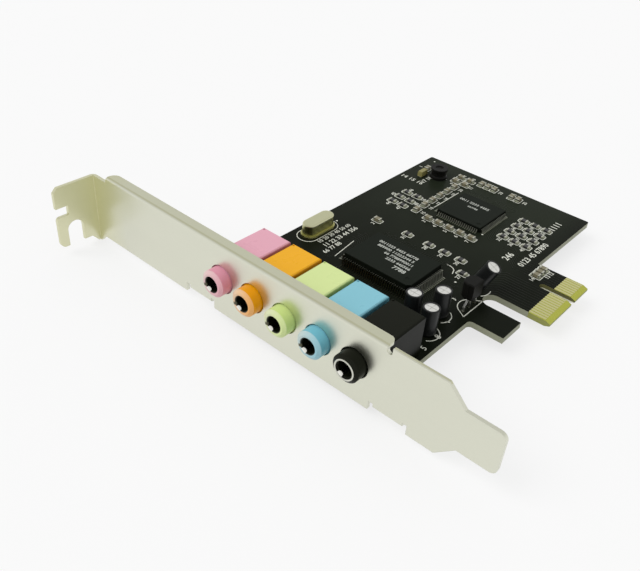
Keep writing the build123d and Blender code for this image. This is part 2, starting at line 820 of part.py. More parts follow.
for cap_name, seat in zip(cap_names, cap_seats):
    cap_axis = Plane(seat)
    cap_side = Plane(origin=cap_axis.origin, x_dir=cap_axis.x_dir, z_dir=-cap_axis.y_dir)
    can_radius = cap_radius - cap_sleeve
    with BuildPart() as can:
        with BuildSketch(cap_side):
            with BuildLine():
                Polyline(
                    (0, cap_bung_gap + cap_bung),
                    (can_radius - cap_groove, cap_bung_gap + cap_bung),
                    (can_radius - cap_groove, cap_groove_height + cap_groove_width / 2),
                    (can_radius, cap_groove_height + cap_groove_width),
                    (can_radius, cap_height - cap_sleeve),
                    (0, cap_height - cap_sleeve),
                    close=True,
                )
            make_face()
        revolve(axis=Axis(cap_axis.origin, cap_axis.z_dir))
        with BuildSketch(cap_axis.offset(cap_height - cap_sleeve)):
            Rectangle(2 * (can_radius - cap_lip), cap_score)
            Rectangle(cap_score, 2 * (can_radius - cap_lip))
        extrude(amount=-cap_score, mode=Mode.SUBTRACT)

    can.part.label = cap_name + "_can"
    export_step(can.part, "parts/" + cap_name + "_can.step")

    with BuildPart() as sleeve:
        with BuildSketch(cap_side):
            with BuildLine():
                Polyline(
                    (can_radius, cap_groove_height + cap_groove_width),
                    (can_radius, cap_height - cap_sleeve),
                    (can_radius - cap_lip, cap_height - cap_sleeve),
                    (can_radius - cap_lip, cap_height),
                    (cap_radius - cap_sleeve, cap_height),
                    (cap_radius, cap_height - cap_sleeve),
                    (cap_radius, cap_bung_gap),
                    (can_radius - cap_groove, cap_bung_gap),
                    (can_radius - cap_groove, cap_groove_height + cap_groove_width / 2),
                    close=True,
                )
            make_face()
        revolve(axis=Axis(cap_axis.origin, cap_axis.z_dir))

    sleeve.part.label = cap_name + "_sleeve"
    export_step(sleeve.part, "parts/" + cap_name + "_sleeve.step")

    with BuildPart() as bung:
        with BuildSketch(cap_axis):
            Circle(can_radius - cap_groove)
        extrude(amount=cap_bung_gap + cap_bung)

    bung.part.label = cap_name + "_bung"
    export_step(bung.part, "parts/" + cap_name + "_bung.step")


with BuildPart() as cap_leads:
    # The leaning pair is cut off along the tilted underside of its bung
    with BuildSketch(board_level.offset(2 * lean_standoff)):
        with Locations(cap_lead_places[6:]):
            RegularPolygon(lead_radius, lead_sides)
    extrude(amount=-(board_thickness + terminal_tail + 2 * lean_standoff))
    split(bisect_by=Plane(cap_seats[-1]), keep=Keep.BOTTOM)
    with BuildSketch(board_level.offset(cap_standoff)):
        with Locations(cap_lead_places[:6]):
            RegularPolygon(lead_radius, lead_sides)
    extrude(amount=-(board_thickness + terminal_tail + cap_standoff))

cap_leads.part.label = "capacitor_leads"
export_step(cap_leads.part, "parts/capacitor_leads.step")


# Three-lead regulator: half-round body on square leads that spread to its holes
with BuildPart() as regulator:
    reg_level = base.offset(board_top + reg_standoff)
    with BuildSketch(reg_level):
        with Locations((reg_x, reg_y)):
            Circle(reg_width / 2)
            Rectangle(reg_width, reg_width, align=(Align.MIN, Align.CENTER), mode=Mode.SUBTRACT)
            Rectangle(reg_depth - reg_width / 2, reg_width * 0.92, align=(Align.MIN, Align.CENTER))
    extrude(amount=reg_height)
    chamfer(regulator.faces().sort_by(Axis.Z)[-1].edges(), reg_edge)

regulator.part.label = "regulator_body"
export_step(regulator.part, "parts/regulator_body.step")

with BuildPart() as reg_leads:
    with BuildSketch(side.offset(reg_x)):
        for turn in (-1, 0, 1):
            body_y = reg_y + turn * reg_body_pitch
            foot_y = reg_y + turn * reg_foot_pitch
            straight_end = board_top + reg_standoff - reg_lead_straight
            spread_end = board_top + reg_lead_spread_end
            lead_end = board_under - terminal_tail
            with BuildLine():
                Polyline(
                    (body_y - reg_lead / 2, board_top + reg_standoff),
                    (body_y + reg_lead / 2, board_top + reg_standoff),
                    (body_y + reg_lead / 2, straight_end),
                    (foot_y + reg_lead / 2, spread_end),
                    (foot_y + reg_lead / 2, lead_end),
                    (foot_y - reg_lead / 2, lead_end),
                    (foot_y - reg_lead / 2, spread_end),
                    (body_y - reg_lead / 2, straight_end),
                    close=True,
                )
            make_face()
    extrude(amount=reg_lead / 2, both=True)

reg_leads.part.label = "regulator_leads"
export_step(reg_leads.part, "parts/regulator_leads.step")


# Choke: drum with a waist and a dimpled top
with BuildPart() as choke:
    with BuildSketch(Plane(origin=(x_zero + choke_x, y_zero + choke_y, z_zero + board_top)).rotated((90, 0, 0))):
        with BuildLine():
            Polyline(
                (0, 0),
                (choke_radius, 0),
                (choke_radius, choke_flange),
                (choke_radius - choke_waist, choke_flange + choke_waist),
                (choke_radius - choke_waist, choke_height - choke_flange - choke_waist),
                (choke_radius, choke_height - choke_flange),
                (choke_radius, choke_height),
                (choke_radius * 0.5, choke_height),
                (choke_radius * 0.4, choke_height - choke_dimple),
                (0, choke_height - choke_dimple),
                close=True,
            )
        make_face()
    revolve(axis=Axis((x_zero + choke_x, y_zero + choke_y, 0), (0, 0, 1)))

choke.part.label = "choke_body"
export_step(choke.part, "parts/choke_body.step")

with BuildPart() as choke_leads:
    with BuildSketch(board_level):
        with Locations(choke_lead_places):
            RegularPolygon(lead_radius, lead_sides)
    extrude(amount=-(board_thickness + terminal_tail))

choke_leads.part.label = "choke_leads"
export_step(choke_leads.part, "parts/choke_leads.step")


# Places of the chip parts, in rows and blocks; those in across rows lie along X, the others along Y
near_row = [(small_x + near_row_pitch * (n - (near_row_count - 1) / 2), near_row_y) for n in range(near_row_count)]
side_row = [(side_row_x, small_y + side_row_pitch * (n - (side_row_count - 1) / 2)) for n in range(side_row_count)]
left_block = [
    (left_block_x + left_block_pitch * column, left_block_y + left_block_pitch * row)
    for column in range(left_block_columns)
    for row in range(left_block_rows)
]
right_block = [
    (
        right_block_x + right_block_pitch_x * (column - (right_block_columns - 1) / 2),
        right_block_y + right_block_pitch_y * (row - (right_block_rows - 1) / 2),
    )
    for column in range(right_block_columns)
    for row in range(right_block_rows)
]

far_row = [(far_row_x + far_row_pitch * (n - (far_row_count - 1) / 2), far_row_y) for n in range(far_row_count)]
far_pair = [(far_pair_x + turn * far_row_pitch / 2, far_row_y) for turn in (-1, 1)]
corner_block = [
    (corner_block_x + corner_block_pitch * column, corner_block_y - corner_block_pitch * row)
    for column in range(2)
    for row in range(2)
]
middle_row = [
    (middle_row_x + middle_row_pitch * (n - (middle_row_count - 1) / 2), middle_row_y) for n in range(middle_row_count)
]
root_row = [(root_row_x, connector_key + root_row_past_key - root_row_pitch * n) for n in range(root_row_count)]
capacitors_along_x = near_row + corner_block + root_row + [(single_x, single_y)]
resistors_between = middle_row + [(before_row_x, middle_row_y)]
capacitors_along_y = side_row + far_row + far_pair + [(ceramic_x, ceramic_y)]
resistors_along_x = resistors_between + right_block + left_block + [(far_single_x, far_single_y)]
body_length = chip_length - 2 * chip_end
end_offset = (chip_length - chip_end) / 2
end_width = chip_width + 2 * chip_end_proud

with BuildPart() as chip_capacitors:
    with BuildSketch(board_level.offset(chip_end_proud)):
        with Locations(capacitors_along_x):
            Rectangle(body_length, chip_width)
        with Locations(capacitors_along_y):
            Rectangle(chip_width, body_length)
    extrude(amount=chip_cap_height)

chip_capacitors.part.label = "chip_capacitor_bodies"
export_step(chip_capacitors.part, "parts/chip_capacitor_bodies.step")

with BuildPart() as chip_capacitor_ends:
    with BuildSketch(board_level):
        with Locations([(x + turn * end_offset, y) for x, y in capacitors_along_x for turn in (-1, 1)]):
            Rectangle(chip_end, end_width)
        with Locations([(x, y + turn * end_offset) for x, y in capacitors_along_y for turn in (-1, 1)]):
            Rectangle(end_width, chip_end)
    extrude(amount=chip_cap_height + 2 * chip_end_proud)

chip_capacitor_ends.part.label = "chip_capacitor_ends"
export_step(chip_capacitor_ends.part, "parts/chip_capacitor_ends.step")

with BuildPart() as chip_resistors:
    with BuildSketch(board_level.offset(chip_end_proud)):
        with Locations(resistors_along_x):
            Rectangle(body_length, chip_width)
    extrude(amount=chip_res_height)

chip_resistors.part.label = "chip_resistor_bodies"
export_step(chip_resistors.part, "parts/chip_resistor_bodies.step")

with BuildPart() as chip_resistor_ends:
    with BuildSketch(board_level):
        with Locations([(x + turn * end_offset, y) for x, y in resistors_along_x for turn in (-1, 1)]):
            Rectangle(chip_end, end_width)
    extrude(amount=chip_res_height + 2 * chip_end_proud)

chip_resistor_ends.part.label = "chip_resistor_ends"
export_step(chip_resistor_ends.part, "parts/chip_resistor_ends.step")


# Moulded tantalum capacitor and its folded end tabs
with BuildPart() as tantalum:
    with BuildSketch(board_level.offset(tantalum_tab_thickness)):
        with Locations((tantalum_x, tantalum_y)):
            Rectangle(tantalum_width, tantalum_length)
    extrude(amount=tantalum_height, taper=package_taper / 2)

tantalum.part.label = "tantalum_body"
export_step(tantalum.part, "parts/tantalum_body.step")

with BuildPart() as tantalum_tabs:
    with BuildSketch(board_level):
        tab_offset = (tantalum_length - tantalum_tab) / 2 + tantalum_tab_thickness
        with Locations((tantalum_x, tantalum_y - tab_offset), (tantalum_x, tantalum_y + tab_offset)):
            Rectangle(tantalum_tab_width, tantalum_tab)
    extrude(amount=tantalum_tab_thickness)

tantalum_tabs.part.label = "tantalum_tabs"
export_step(tantalum_tabs.part, "parts/tantalum_tabs.step")


# Solder under the board round every lead that passes through it
with BuildPart() as solder:
    with BuildSketch(under_level):
        with Locations(across_places + along_places):
            RegularPolygon(solder_radius, solder_sides)
        with Locations(round_lead_places):
            RegularPolygon(solder_radius_small, solder_sides)
        with Locations(reg_lead_places):
            RegularPolygon(solder_radius_tiny, solder_sides)
    extrude(amount=-solder_height, taper=solder_taper)
    with BuildSketch(under_level):
        with Locations(round_lead_places):
            RegularPolygon(lead_radius, lead_sides)
        with Locations(reg_lead_places):
            Rectangle(reg_lead, reg_lead)
        with Locations(across_places):
            Rectangle(terminal_width, terminal_thickness)
        with Locations(along_places):
            Rectangle(terminal_thickness, terminal_width)
    extrude(amount=-solder_height, mode=Mode.SUBTRACT)

solder.part.label = "solder_joints"
export_step(solder.part, "parts/solder_joints.step")
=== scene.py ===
import math

import bmesh
import bpy
from bpy.props import FloatProperty, FloatVectorProperty, PointerProperty
from bpy.types import NodeSocket, Operator, Panel, PropertyGroup
from mathutils import Matrix, Vector


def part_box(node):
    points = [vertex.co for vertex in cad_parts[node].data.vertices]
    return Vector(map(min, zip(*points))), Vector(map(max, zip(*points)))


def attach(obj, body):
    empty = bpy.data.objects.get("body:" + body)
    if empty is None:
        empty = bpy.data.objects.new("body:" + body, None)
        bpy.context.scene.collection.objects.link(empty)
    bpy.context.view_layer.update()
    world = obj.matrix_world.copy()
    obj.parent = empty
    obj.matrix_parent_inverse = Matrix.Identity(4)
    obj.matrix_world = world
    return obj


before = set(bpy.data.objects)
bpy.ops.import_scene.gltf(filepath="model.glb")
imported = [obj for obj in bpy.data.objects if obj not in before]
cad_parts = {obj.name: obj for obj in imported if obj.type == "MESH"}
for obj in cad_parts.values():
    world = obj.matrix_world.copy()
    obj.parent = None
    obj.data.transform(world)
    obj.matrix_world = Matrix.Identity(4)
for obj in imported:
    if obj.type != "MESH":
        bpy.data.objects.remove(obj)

bl_info = {
    "name": "Sound card finish",
    "version": (1, 0, 0),
    "blender": (4, 5, 0),
    "location": "3D View > Sidebar > Sound Card",
    "description": "Finishes, board print, copper, jack springs and studio for a sound card",
    "category": "Object",
}

MM = 0.001
QUARTER = math.pi / 2
BEYOND = 1.0  # metres, past the card on every side
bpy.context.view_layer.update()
BRACKET_LOW, BRACKET_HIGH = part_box("bracket")
BOARD_LOW, BOARD_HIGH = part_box("pcb")
TAB_DEPTH = 11.43 * MM
LUG_DROP = 2.0 * MM
BORE_HEIGHT = 9.6  # millimetres, from the blade's lower edge
JACKS = ("pink", "orange", "green", "blue", "black")
CHIPS = ("large_chip", "small_chip")
CHIP_PARTS = ("chip_capacitor", "chip_resistor")
KEY_AFTER = 11  # contacts between the bracket's side and the key slot
SUNK = 0.002 * MM  # how deep a film lies in what carries it
CAMERA_PLACE = (148.21, -90.115, 107.35)  # millimetres on the card
CAMERA_TURN = (53.752, -3.886, 41.444)  # degrees about X, Y and Z


# Places. The card is measured in millimetres from the outer face of the tab,
# the outer face of the blade and the blade's lower edge.

ZERO = Vector((BRACKET_LOW.x, BRACKET_LOW.y + TAB_DEPTH, BRACKET_LOW.z + LUG_DROP))


def at(x, y, z=0.0):
    """Turns a place measured on the card, in millimetres, into the frame's metres."""
    return Vector((ZERO.x + x * MM, ZERO.y + y * MM, ZERO.z + z * MM))


def measured(spot):
    """Turns a place in the frame back into millimetres along and across the card."""
    return (spot.x - ZERO.x) / MM, (spot.y - ZERO.y) / MM


def lifted(spot, rise):
    """The place above a spot that lies a little over the board's component side."""
    return Vector((spot.x, spot.y, BOARD_HIGH.z + rise))


def middle(box):
    return (box[0] + box[1]) / 2


def straight(way):
    """The direction along or across the card that a way comes closest to."""
    if abs(way.x) > abs(way.y):
        return Vector((math.copysign(1.0, way.x), 0.0, 0.0))
    return Vector((0.0, math.copysign(1.0, way.y), 0.0))


def solids(name):
    """Boxes of the separate solids that share one CAD node, lowest corner and highest corner."""
    loose = bmesh.new()
    loose.from_mesh(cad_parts[name].data)
    bmesh.ops.remove_doubles(loose, verts=loose.verts, dist=1e-7)
    seen = set()
    found = []
    for start in loose.verts:
        reach = [start]
        places = []
        while reach:
            vert = reach.pop()
            if vert not in seen:
                seen.add(vert)
                places.append(vert.co)
                reach.extend(edge.other_vert(vert) for edge in vert.link_edges)
        if places:
            found.append((Vector(map(min, *places)), Vector(map(max, *places))))
    loose.free()
    return found


def contact_row():
    """Boxes of the upper edge contacts, from the bracket's side on."""
    return sorted(solids("edge_contacts_upper"), key=lambda box: box[0].y)


def keep(piece):
    """Lets a finished piece ride with the card."""
    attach(piece, "root")


def new_piece(name, data, material=None):
    if material is not None:
        data.materials.clear()
        data.materials.append(material)
    piece = bpy.data.objects.new(name, data)
    bpy.context.scene.collection.objects.link(piece)
    return piece


def plain_mesh(piece):
    """The mesh that an object's modifiers or text come to."""
    return bpy.data.meshes.new_from_object(piece.evaluated_get(bpy.context.evaluated_depsgraph_get()))


# Node helpers.

def add(tree, kind, inputs=None, **options):
    node = tree.nodes.new(kind)
    for name, value in options.items():
        setattr(node, name, value)
    for key, value in (inputs or {}).items():
        if isinstance(value, NodeSocket):
            tree.links.new(value, node.inputs[key])
        else:
            node.inputs[key].default_value = value
    return node


def maths(tree, operation, first, second=0.0, third=0.0, clamp=False):
    return add(tree, "ShaderNodeMath", {0: first, 1: second, 2: third},
               operation=operation, use_clamp=clamp).outputs[0]


def ramp(tree, value, low, high, to_low=0.0, to_high=1.0):
    """Follows a value from low to high and holds it there."""
    return add(tree, "ShaderNodeMapRange", {
        "Value": value, "From Min": low, "From Max": high, "To Min": to_low, "To Max": to_high}).outputs[0]


def blend_colours(tree, mask, first, second, blend="MIX"):
    return add(tree, "ShaderNodeMix", {0: mask, 6: first, 7: second},
               data_type="RGBA", blend_type=blend).outputs[2]


def rgba(colour):
    return (colour[0], colour[1], colour[2], 1.0)


def empty_tree(owner):
    """The node tree of a material or world, emptied."""
    owner.use_nodes = True
    owner.node_tree.nodes.clear()
    return owner.node_tree


def built_once(name, inputs, outputs, kind="ShaderNodeTree"):
    """Turns a function that fills a node tree into one that makes the tree once and fetches it."""
    def wrap(fill):
        def fetch(*details):
            label = name + "".join(details)
            if label not in bpy.data.node_groups:
                tree, given, result = new_tree(label, kind, inputs, outputs)
                for socket, value in fill(tree, given, *details).items():
                    tree.links.new(value, result[socket])
            return bpy.data.node_groups[label]
        return fetch
    return wrap


def new_tree(name, kind, inputs, outputs):
    """A tree whose inputs are given by their type, or as a number that is their default."""
    tree = bpy.data.node_groups.new(name, kind)
    for label, default in inputs.items():
        sort = default if isinstance(default, str) else "Float"
        socket = tree.interface.new_socket(label, in_out="INPUT", socket_type="NodeSocket" + sort)
        if sort == "Float":
            socket.default_value = default
    for label, sort in outputs.items():
        tree.interface.new_socket(label, in_out="OUTPUT", socket_type="NodeSocket" + sort)
    return tree, tree.nodes.new("NodeGroupInput").outputs, tree.nodes.new("NodeGroupOutput").inputs


# Shader groups that more than one finish uses.

@built_once("Surface grain",
            {"Place": "Vector", "Colour": "Color", "Size": 0.0003, "Contrast": 0.1, "Blotch": 0.05},
            {"Colour": "Color", "Height": "Float"})
def grain_group(tree, given):
    """Fine grain: a colour that varies a little, and its height for a bump."""
    fine = add(tree, "ShaderNodeTexNoise",
               {"Vector": given["Place"], "Scale": maths(tree, "DIVIDE", 1.0, given["Size"]), "Detail": 3.0})
    broad = add(tree, "ShaderNodeTexNoise", {"Vector": given["Place"], "Scale": 140.0, "Detail": 2.0})
    fine_part = maths(tree, "MULTIPLY", maths(tree, "SUBTRACT", fine.outputs[0], 0.5), given["Contrast"])
    broad_part = maths(tree, "MULTIPLY", maths(tree, "SUBTRACT", broad.outputs[0], 0.5), given["Blotch"])
    level = maths(tree, "MULTIPLY_ADD", maths(tree, "ADD", fine_part, broad_part), 2.0, 1.0)
    shade = add(tree, "ShaderNodeVectorMath", {0: given["Colour"], 3: level}, operation="SCALE")
    return {"Colour": shade.outputs[0], "Height": fine.outputs[0]}


@built_once("Handling marks", {"Place": "Vector", "Roughness": 0.4, "Amount": 0.05, "Size": 0.006},
            {"Roughness": "Float"})
def handling_group(tree, given):
    """Roughness that changes softly where a surface has been touched or rubbed."""
    cloud = add(tree, "ShaderNodeTexNoise",
                {"Vector": given["Place"], "Scale": maths(tree, "DIVIDE", 1.0, given["Size"]),
                 "Detail": 4.0, "Distortion": 0.4})
    change = maths(tree, "SUBTRACT", cloud.outputs[0], 0.5)
    return {"Roughness": maths(tree, "MULTIPLY_ADD", change, given["Amount"], given["Roughness"])}


@built_once("Rounded edge", {"Place": "Vector", "Radius": 0.0001}, {"Normal": "Vector", "Mask": "Float"})
def edge_group(tree, given):
    """Softly rounded edges: a normal for the rounding and a mask for the wear on it."""
    round_off = add(tree, "ShaderNodeBevel", {"Radius": given["Radius"]}, samples=4)
    flat = add(tree, "ShaderNodeNewGeometry").outputs["True Normal"]
    agree = add(tree, "ShaderNodeVectorMath", {0: round_off.outputs[0], 1: flat}, operation="DOT_PRODUCT")
    patchy = add(tree, "ShaderNodeTexNoise", {"Vector": given["Place"], "Scale": 900.0, "Detail": 2.0})
    bent = ramp(tree, agree.outputs["Value"], 0.98, 0.8)
    patches = ramp(tree, patchy.outputs[0], 0.35, 0.65)
    return {"Normal": round_off.outputs[0], "Mask": maths(tree, "MULTIPLY", bent, patches)}


@built_once("Bore shade", {"Place": "Vector", "Axis": "Vector", "Radius": 0.0019, "Fade": 0.0008},
            {"Mask": "Float"})
def bore_group(tree, given):
    """How far a place lies inside a round bore that runs along the card's depth."""
    offset = add(tree, "ShaderNodeVectorMath", {0: given["Place"], 1: given["Axis"]}, operation="SUBTRACT")
    parts = add(tree, "ShaderNodeSeparateXYZ", {0: offset.outputs[0]}).outputs
    square = maths(tree, "MULTIPLY_ADD", parts[0], parts[0], maths(tree, "MULTIPLY", parts[2], parts[2]))
    inside = maths(tree, "LESS_THAN", maths(tree, "SQRT", square), given["Radius"])
    depth = maths(tree, "DIVIDE", parts[1], given["Fade"], clamp=True)
    return {"Mask": maths(tree, "MULTIPLY", inside, depth)}


class Finish:
    """A material under way: its tree, its shader, the place it reads and its varied colour."""

    def __init__(self, name, colour, roughness, metallic=0.0, specular=0.5, grain=0.25, contrast=0.06,
                 blotch=0.03, relief=0.1, edge=0.08, worn=None, handled=0.06, stretch=None):
        self.material = bpy.data.materials.new(name)
        self.material.diffuse_color = rgba(colour)
        tree = self.tree = empty_tree(self.material)
        self.place = grain_place = add(tree, "ShaderNodeTexCoord").outputs["Object"]
        if stretch is not None:
            grain_place = add(tree, "ShaderNodeMapping", {"Vector": self.place, "Scale": stretch}).outputs[0]
        varied = self.group(grain_group(), {
            "Place": grain_place, "Colour": rgba(colour), "Size": grain * MM, "Contrast": contrast,
            "Blotch": blotch})
        marks = self.group(handling_group(), {"Place": self.place, "Roughness": roughness, "Amount": handled})
        rounding = self.group(edge_group(), {"Place": self.place, "Radius": edge * MM})
        bump = add(tree, "ShaderNodeBump", {
            "Strength": relief, "Distance": 0.00003, "Height": varied["Height"],
            "Normal": rounding["Normal"]})
        self.colour = varied["Colour"]
        shader = add(tree, "ShaderNodeBsdfPrincipled", {
            "Base Color": self.colour, "Metallic": metallic, "Roughness": marks["Roughness"],
            "Specular IOR Level": specular, "Normal": bump.outputs[0]})
        add(tree, "ShaderNodeOutputMaterial", {"Surface": shader.outputs[0]})
        self.base = shader.inputs["Base Color"]
        if worn is not None:
            self.over(rounding["Mask"], worn)

    def group(self, group, inputs):
        return add(self.tree, "ShaderNodeGroup", inputs, node_tree=group).outputs

    def over(self, mask, colour, blend="MIX"):
        """Lays a colour over the finish where the mask says."""
        top = colour if isinstance(colour, NodeSocket) else rgba(colour)
        self.colour = blend_colours(self.tree, mask, self.colour, top, blend)
        self.tree.links.new(self.colour, self.base)

    def tint(self, mask, colour):
        """Multiplies the finish by a colour where the mask says."""
        self.over(mask, colour, "MULTIPLY")

    def common(self, first, *others):
        """A mask for what all the masks share."""
        for other in others:
            first = maths(self.tree, "MULTIPLY", first, other)
        return first

    def along(self, axis):
        """The place along one of the card's axes, in metres."""
        return add(self.tree, "ShaderNodeSeparateXYZ", {0: self.place}).outputs[axis]

    def between(self, axis, low=-BEYOND, high=BEYOND, soft=0.02):
        """A mask for places between two sizes in metres, with ends that fade over millimetres."""
        value = self.along(axis)
        fade = soft * MM
        return self.common(ramp(self.tree, value, low - fade, low + fade),
                           ramp(self.tree, value, high - fade, high + fade, 1.0, 0.0))

    def paint(self, *names):
        """Gives the finish to CAD nodes."""
        for name in names:
            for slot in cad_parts[name].material_slots:
                slot.material = self.material


# Geometry node trees for print, copper and solder.

def rectangle(tree, width, height):
    return add(tree, "GeometryNodeCurvePrimitiveQuadrilateral", {"Width": width, "Height": height}).outputs[0]


def flat_sweep(tree, line, width, thickness, caps=False):
    """Sweeps a thin rectangle along a line, with its width level."""
    level = add(tree, "GeometryNodeSetCurveNormal", {"Curve": line}, mode="Z_UP").outputs[0]
    profile = rectangle(tree, width, thickness)
    return add(tree, "GeometryNodeCurveToMesh",
               {"Curve": level, "Profile Curve": profile, "Fill Caps": caps}).outputs[0]


def put_out(tree, form, given):
    """Ends a tree with real faces in the finish that it is given."""
    real = add(tree, "GeometryNodeRealizeInstances", {"Geometry": form})
    done = add(tree, "GeometryNodeSetMaterial", {"Geometry": real.outputs[0], "Material": given["Finish"]})
    return {"Geometry": done.outputs[0]}


@built_once("Flat stroke",
            {"Geometry": "Geometry", "Width": 0.0002, "Thickness": 0.00002, "Finish": "Material"},
            {"Geometry": "Geometry"}, "GeometryNodeTree")
def stroke_tree(tree, given):
    """Sweeps a flat line along the edges of a mesh."""
    path = add(tree, "GeometryNodeMeshToCurve", {"Mesh": given["Geometry"]}).outputs[0]
    return put_out(tree, flat_sweep(tree, path, given["Width"], given["Thickness"], True), given)


@built_once("Repeated ",
            {"Geometry": "Geometry", "Length": 0.001, "Width": 0.001, "Thickness": 0.00002, "Line": 0.0002,
             "Finish": "Material"},
            {"Geometry": "Geometry"}, "GeometryNodeTree")
def repeat_tree(tree, given, shape):
    """Repeats a plate, heap, outline or ring on points that carry their turn about the vertical."""
    if shape in ("plate", "heap"):
        size = add(tree, "ShaderNodeCombineXYZ",
                   {0: given["Length"], 1: given["Width"], 2: given["Thickness"]}).outputs[0]
        if shape == "plate":
            form = add(tree, "GeometryNodeMeshCube", {"Size": size}).outputs[0]
        else:
            cone = add(tree, "GeometryNodeMeshCone",
                       {"Vertices": 8, "Radius Top": 0.28, "Radius Bottom": 0.5, "Depth": 1.0})
            form = add(tree, "GeometryNodeTransform", {"Geometry": cone.outputs[0], "Scale": size}).outputs[0]
    else:
        if shape == "outline":
            box = rectangle(tree, given["Length"], given["Width"])
            corner = maths(tree, "MULTIPLY", given["Line"], 1.2)
            line = add(tree, "GeometryNodeFilletCurve", {"Curve": box, "Count": 2, "Radius": corner},
                       mode="POLY")
        else:
            radius = maths(tree, "DIVIDE", given["Length"], 2.0)
            line = add(tree, "GeometryNodeCurvePrimitiveCircle", {"Resolution": 14, "Radius": radius})
        form = flat_sweep(tree, line.outputs[0], given["Line"], given["Thickness"])
    turn = add(tree, "GeometryNodeInputNamedAttribute", {"Name": "turn"}, data_type="FLOAT")
    angles = add(tree, "ShaderNodeCombineXYZ", {2: turn.outputs[0]})
    facing = add(tree, "FunctionNodeEulerToRotation", {0: angles.outputs[0]})
    placed = add(tree, "GeometryNodeInstanceOnPoints",
                 {"Points": given["Geometry"], "Instance": form, "Rotation": facing.outputs[0]})
    return put_out(tree, placed.outputs[0], given)


def lay(name, tree, settings, points, edges=(), turns=None):
    """Runs a geometry node tree on points or edges and keeps the plain mesh that it makes."""
    seed = bpy.data.meshes.new(name + "_points")
    seed.from_pydata(points, edges, [])
    layer = seed.attributes.new("turn", "FLOAT", "POINT")
    layer.data.foreach_set("value", turns or [0.0] * len(points))
    carrier = new_piece(name + "_carrier", seed)
    modifier = carrier.modifiers.new(tree.name, "NODES")
    modifier.node_group = tree
    known = {item.name: item.identifier for item in tree.interface.items_tree
             if item.item_type == "SOCKET" and item.in_out == "INPUT"}
    for label, value in settings.items():
        modifier[known[label]] = value
    made = plain_mesh(carrier)
    if not made.polygons:
        raise RuntimeError("the tree " + tree.name + " made no faces for " + name)
    made.name = name
    carrier.modifiers.remove(modifier)
    bpy.data.objects.remove(carrier)
    keep(new_piece(name, made))


def chain(lines):
    """Points and edges of several open or closed lines."""
    points = []
    edges = []
    for line in lines:
        first = len(points)
        closed = len(line) > 2 and line[0] == line[-1]
        points.extend(line[:-1] if closed else line)
        edges.extend((k, k + 1) for k in range(first, len(points) - 1))
        if closed:
            edges.append((len(points) - 1, first))
    return points, edges


def arc(x, y, radius, start, stop, steps=14):
    """Places on the card along a circle, angles in degrees from the bracket's length."""
    angles = [math.radians(start + (stop - start) * k / steps) for k in range(steps + 1)]
    return [(x + radius * math.cos(angle), y + radius * math.sin(angle)) for angle in angles]


def keep_print(name, meshes, material):
    """Keeps several printed meshes as one piece, each where it already lies."""
    whole = bmesh.new()
    for mesh in meshes:
        whole.from_mesh(mesh)
        bpy.data.meshes.remove(mesh)
    result = bpy.data.meshes.new(name)
    whole.to_mesh(result)
    whole.free()
    keep(new_piece(name, result, material))


def numeral(text, height, x, y, turn, z, thickness, weight=0.012):
    """Plain numerals, made a mesh first and then laid at their place."""
    curve = bpy.data.curves.new("numeral", "FONT")
    curve.body = text
    curve.size = height * 1.4
    curve.align_x = "CENTER"
    curve.align_y = "CENTER"
    curve.resolution_u = 2
    curve.extrude = thickness / 2
    curve.offset = height * weight
    holder = new_piece("numeral", curve)
    made = plain_mesh(holder)
    bpy.data.objects.remove(holder)
    bpy.data.curves.remove(curve)
    spot = at(x, y)
    spot.z = z + thickness / 2
    made.transform(Matrix.Translation(spot) @ Matrix.Rotation(turn, 4, "Z"))
    return made


# Settings that a user may change.

def a_length(name, description, default):
    return FloatProperty(name=name, description=description, default=default * MM, min=0.0,
                         unit="LENGTH", subtype="DISTANCE", precision=6)


def a_colour(name, description, default):
    return FloatVectorProperty(name=name, description=description, default=default, size=3,
                               min=0.0, max=1.0, subtype="COLOR")


class CardColours(PropertyGroup):
    steel: a_colour("Steel", "Plated steel of the bracket", (0.73, 0.735, 0.62))
    mask: a_colour("Solder mask", "Dark coating of the board", (0.0078, 0.0095, 0.006))
    laminate: a_colour("Laminate", "Bare glass-fibre board at its cut edges", (0.33, 0.34, 0.25))
    bare_tip: a_colour("Bare tip", "Uncoated board round the gold contacts", (0.52, 0.54, 0.1))
    pink: a_colour("Pink jack", "Moulded plastic of the microphone jack", (0.78, 0.4, 0.49))
    orange: a_colour("Orange jack", "Moulded plastic of the centre jack", (0.88, 0.43, 0.009))
    green: a_colour("Green jack", "Moulded plastic of the front jack", (0.67, 0.79, 0.34))
    blue: a_colour("Blue jack", "Moulded plastic of the line jack", (0.24, 0.55, 0.65))
    black: a_colour("Black jack", "Moulded plastic of the rear jack", (0.0105, 0.0115, 0.0075))
    mould: a_colour("Chip mould", "Epoxy of the chips", (0.0125, 0.0155, 0.0115))
    gold: a_colour("Gold", "Plating of the edge contacts", (0.66, 0.63, 0.31))
    print: a_colour("Board print", "Pale print on the board", (0.72, 0.73, 0.64))


class PrintSizes(PropertyGroup):
    line: a_length("Line", "Width of the printed lines", 0.24)
    thickness: a_length("Thickness", "Thickness of the print", 0.025)
    outline_margin: a_length("Outline margin", "Room between a chip part and its outline", 0.32)
    figure: a_length("Figure", "Height of the small numerals", 1.15)
    chip_figure: a_length("Chip figure", "Height of the numerals on the large chip", 1.0)


class CopperSizes(PropertyGroup):
    track: a_length("Track", "Width of a copper track", 0.22)
    thickness: a_length("Thickness", "Rise of a track under the coating", 0.02)
    via: a_length("Via", "Outside diameter of a via", 0.6)


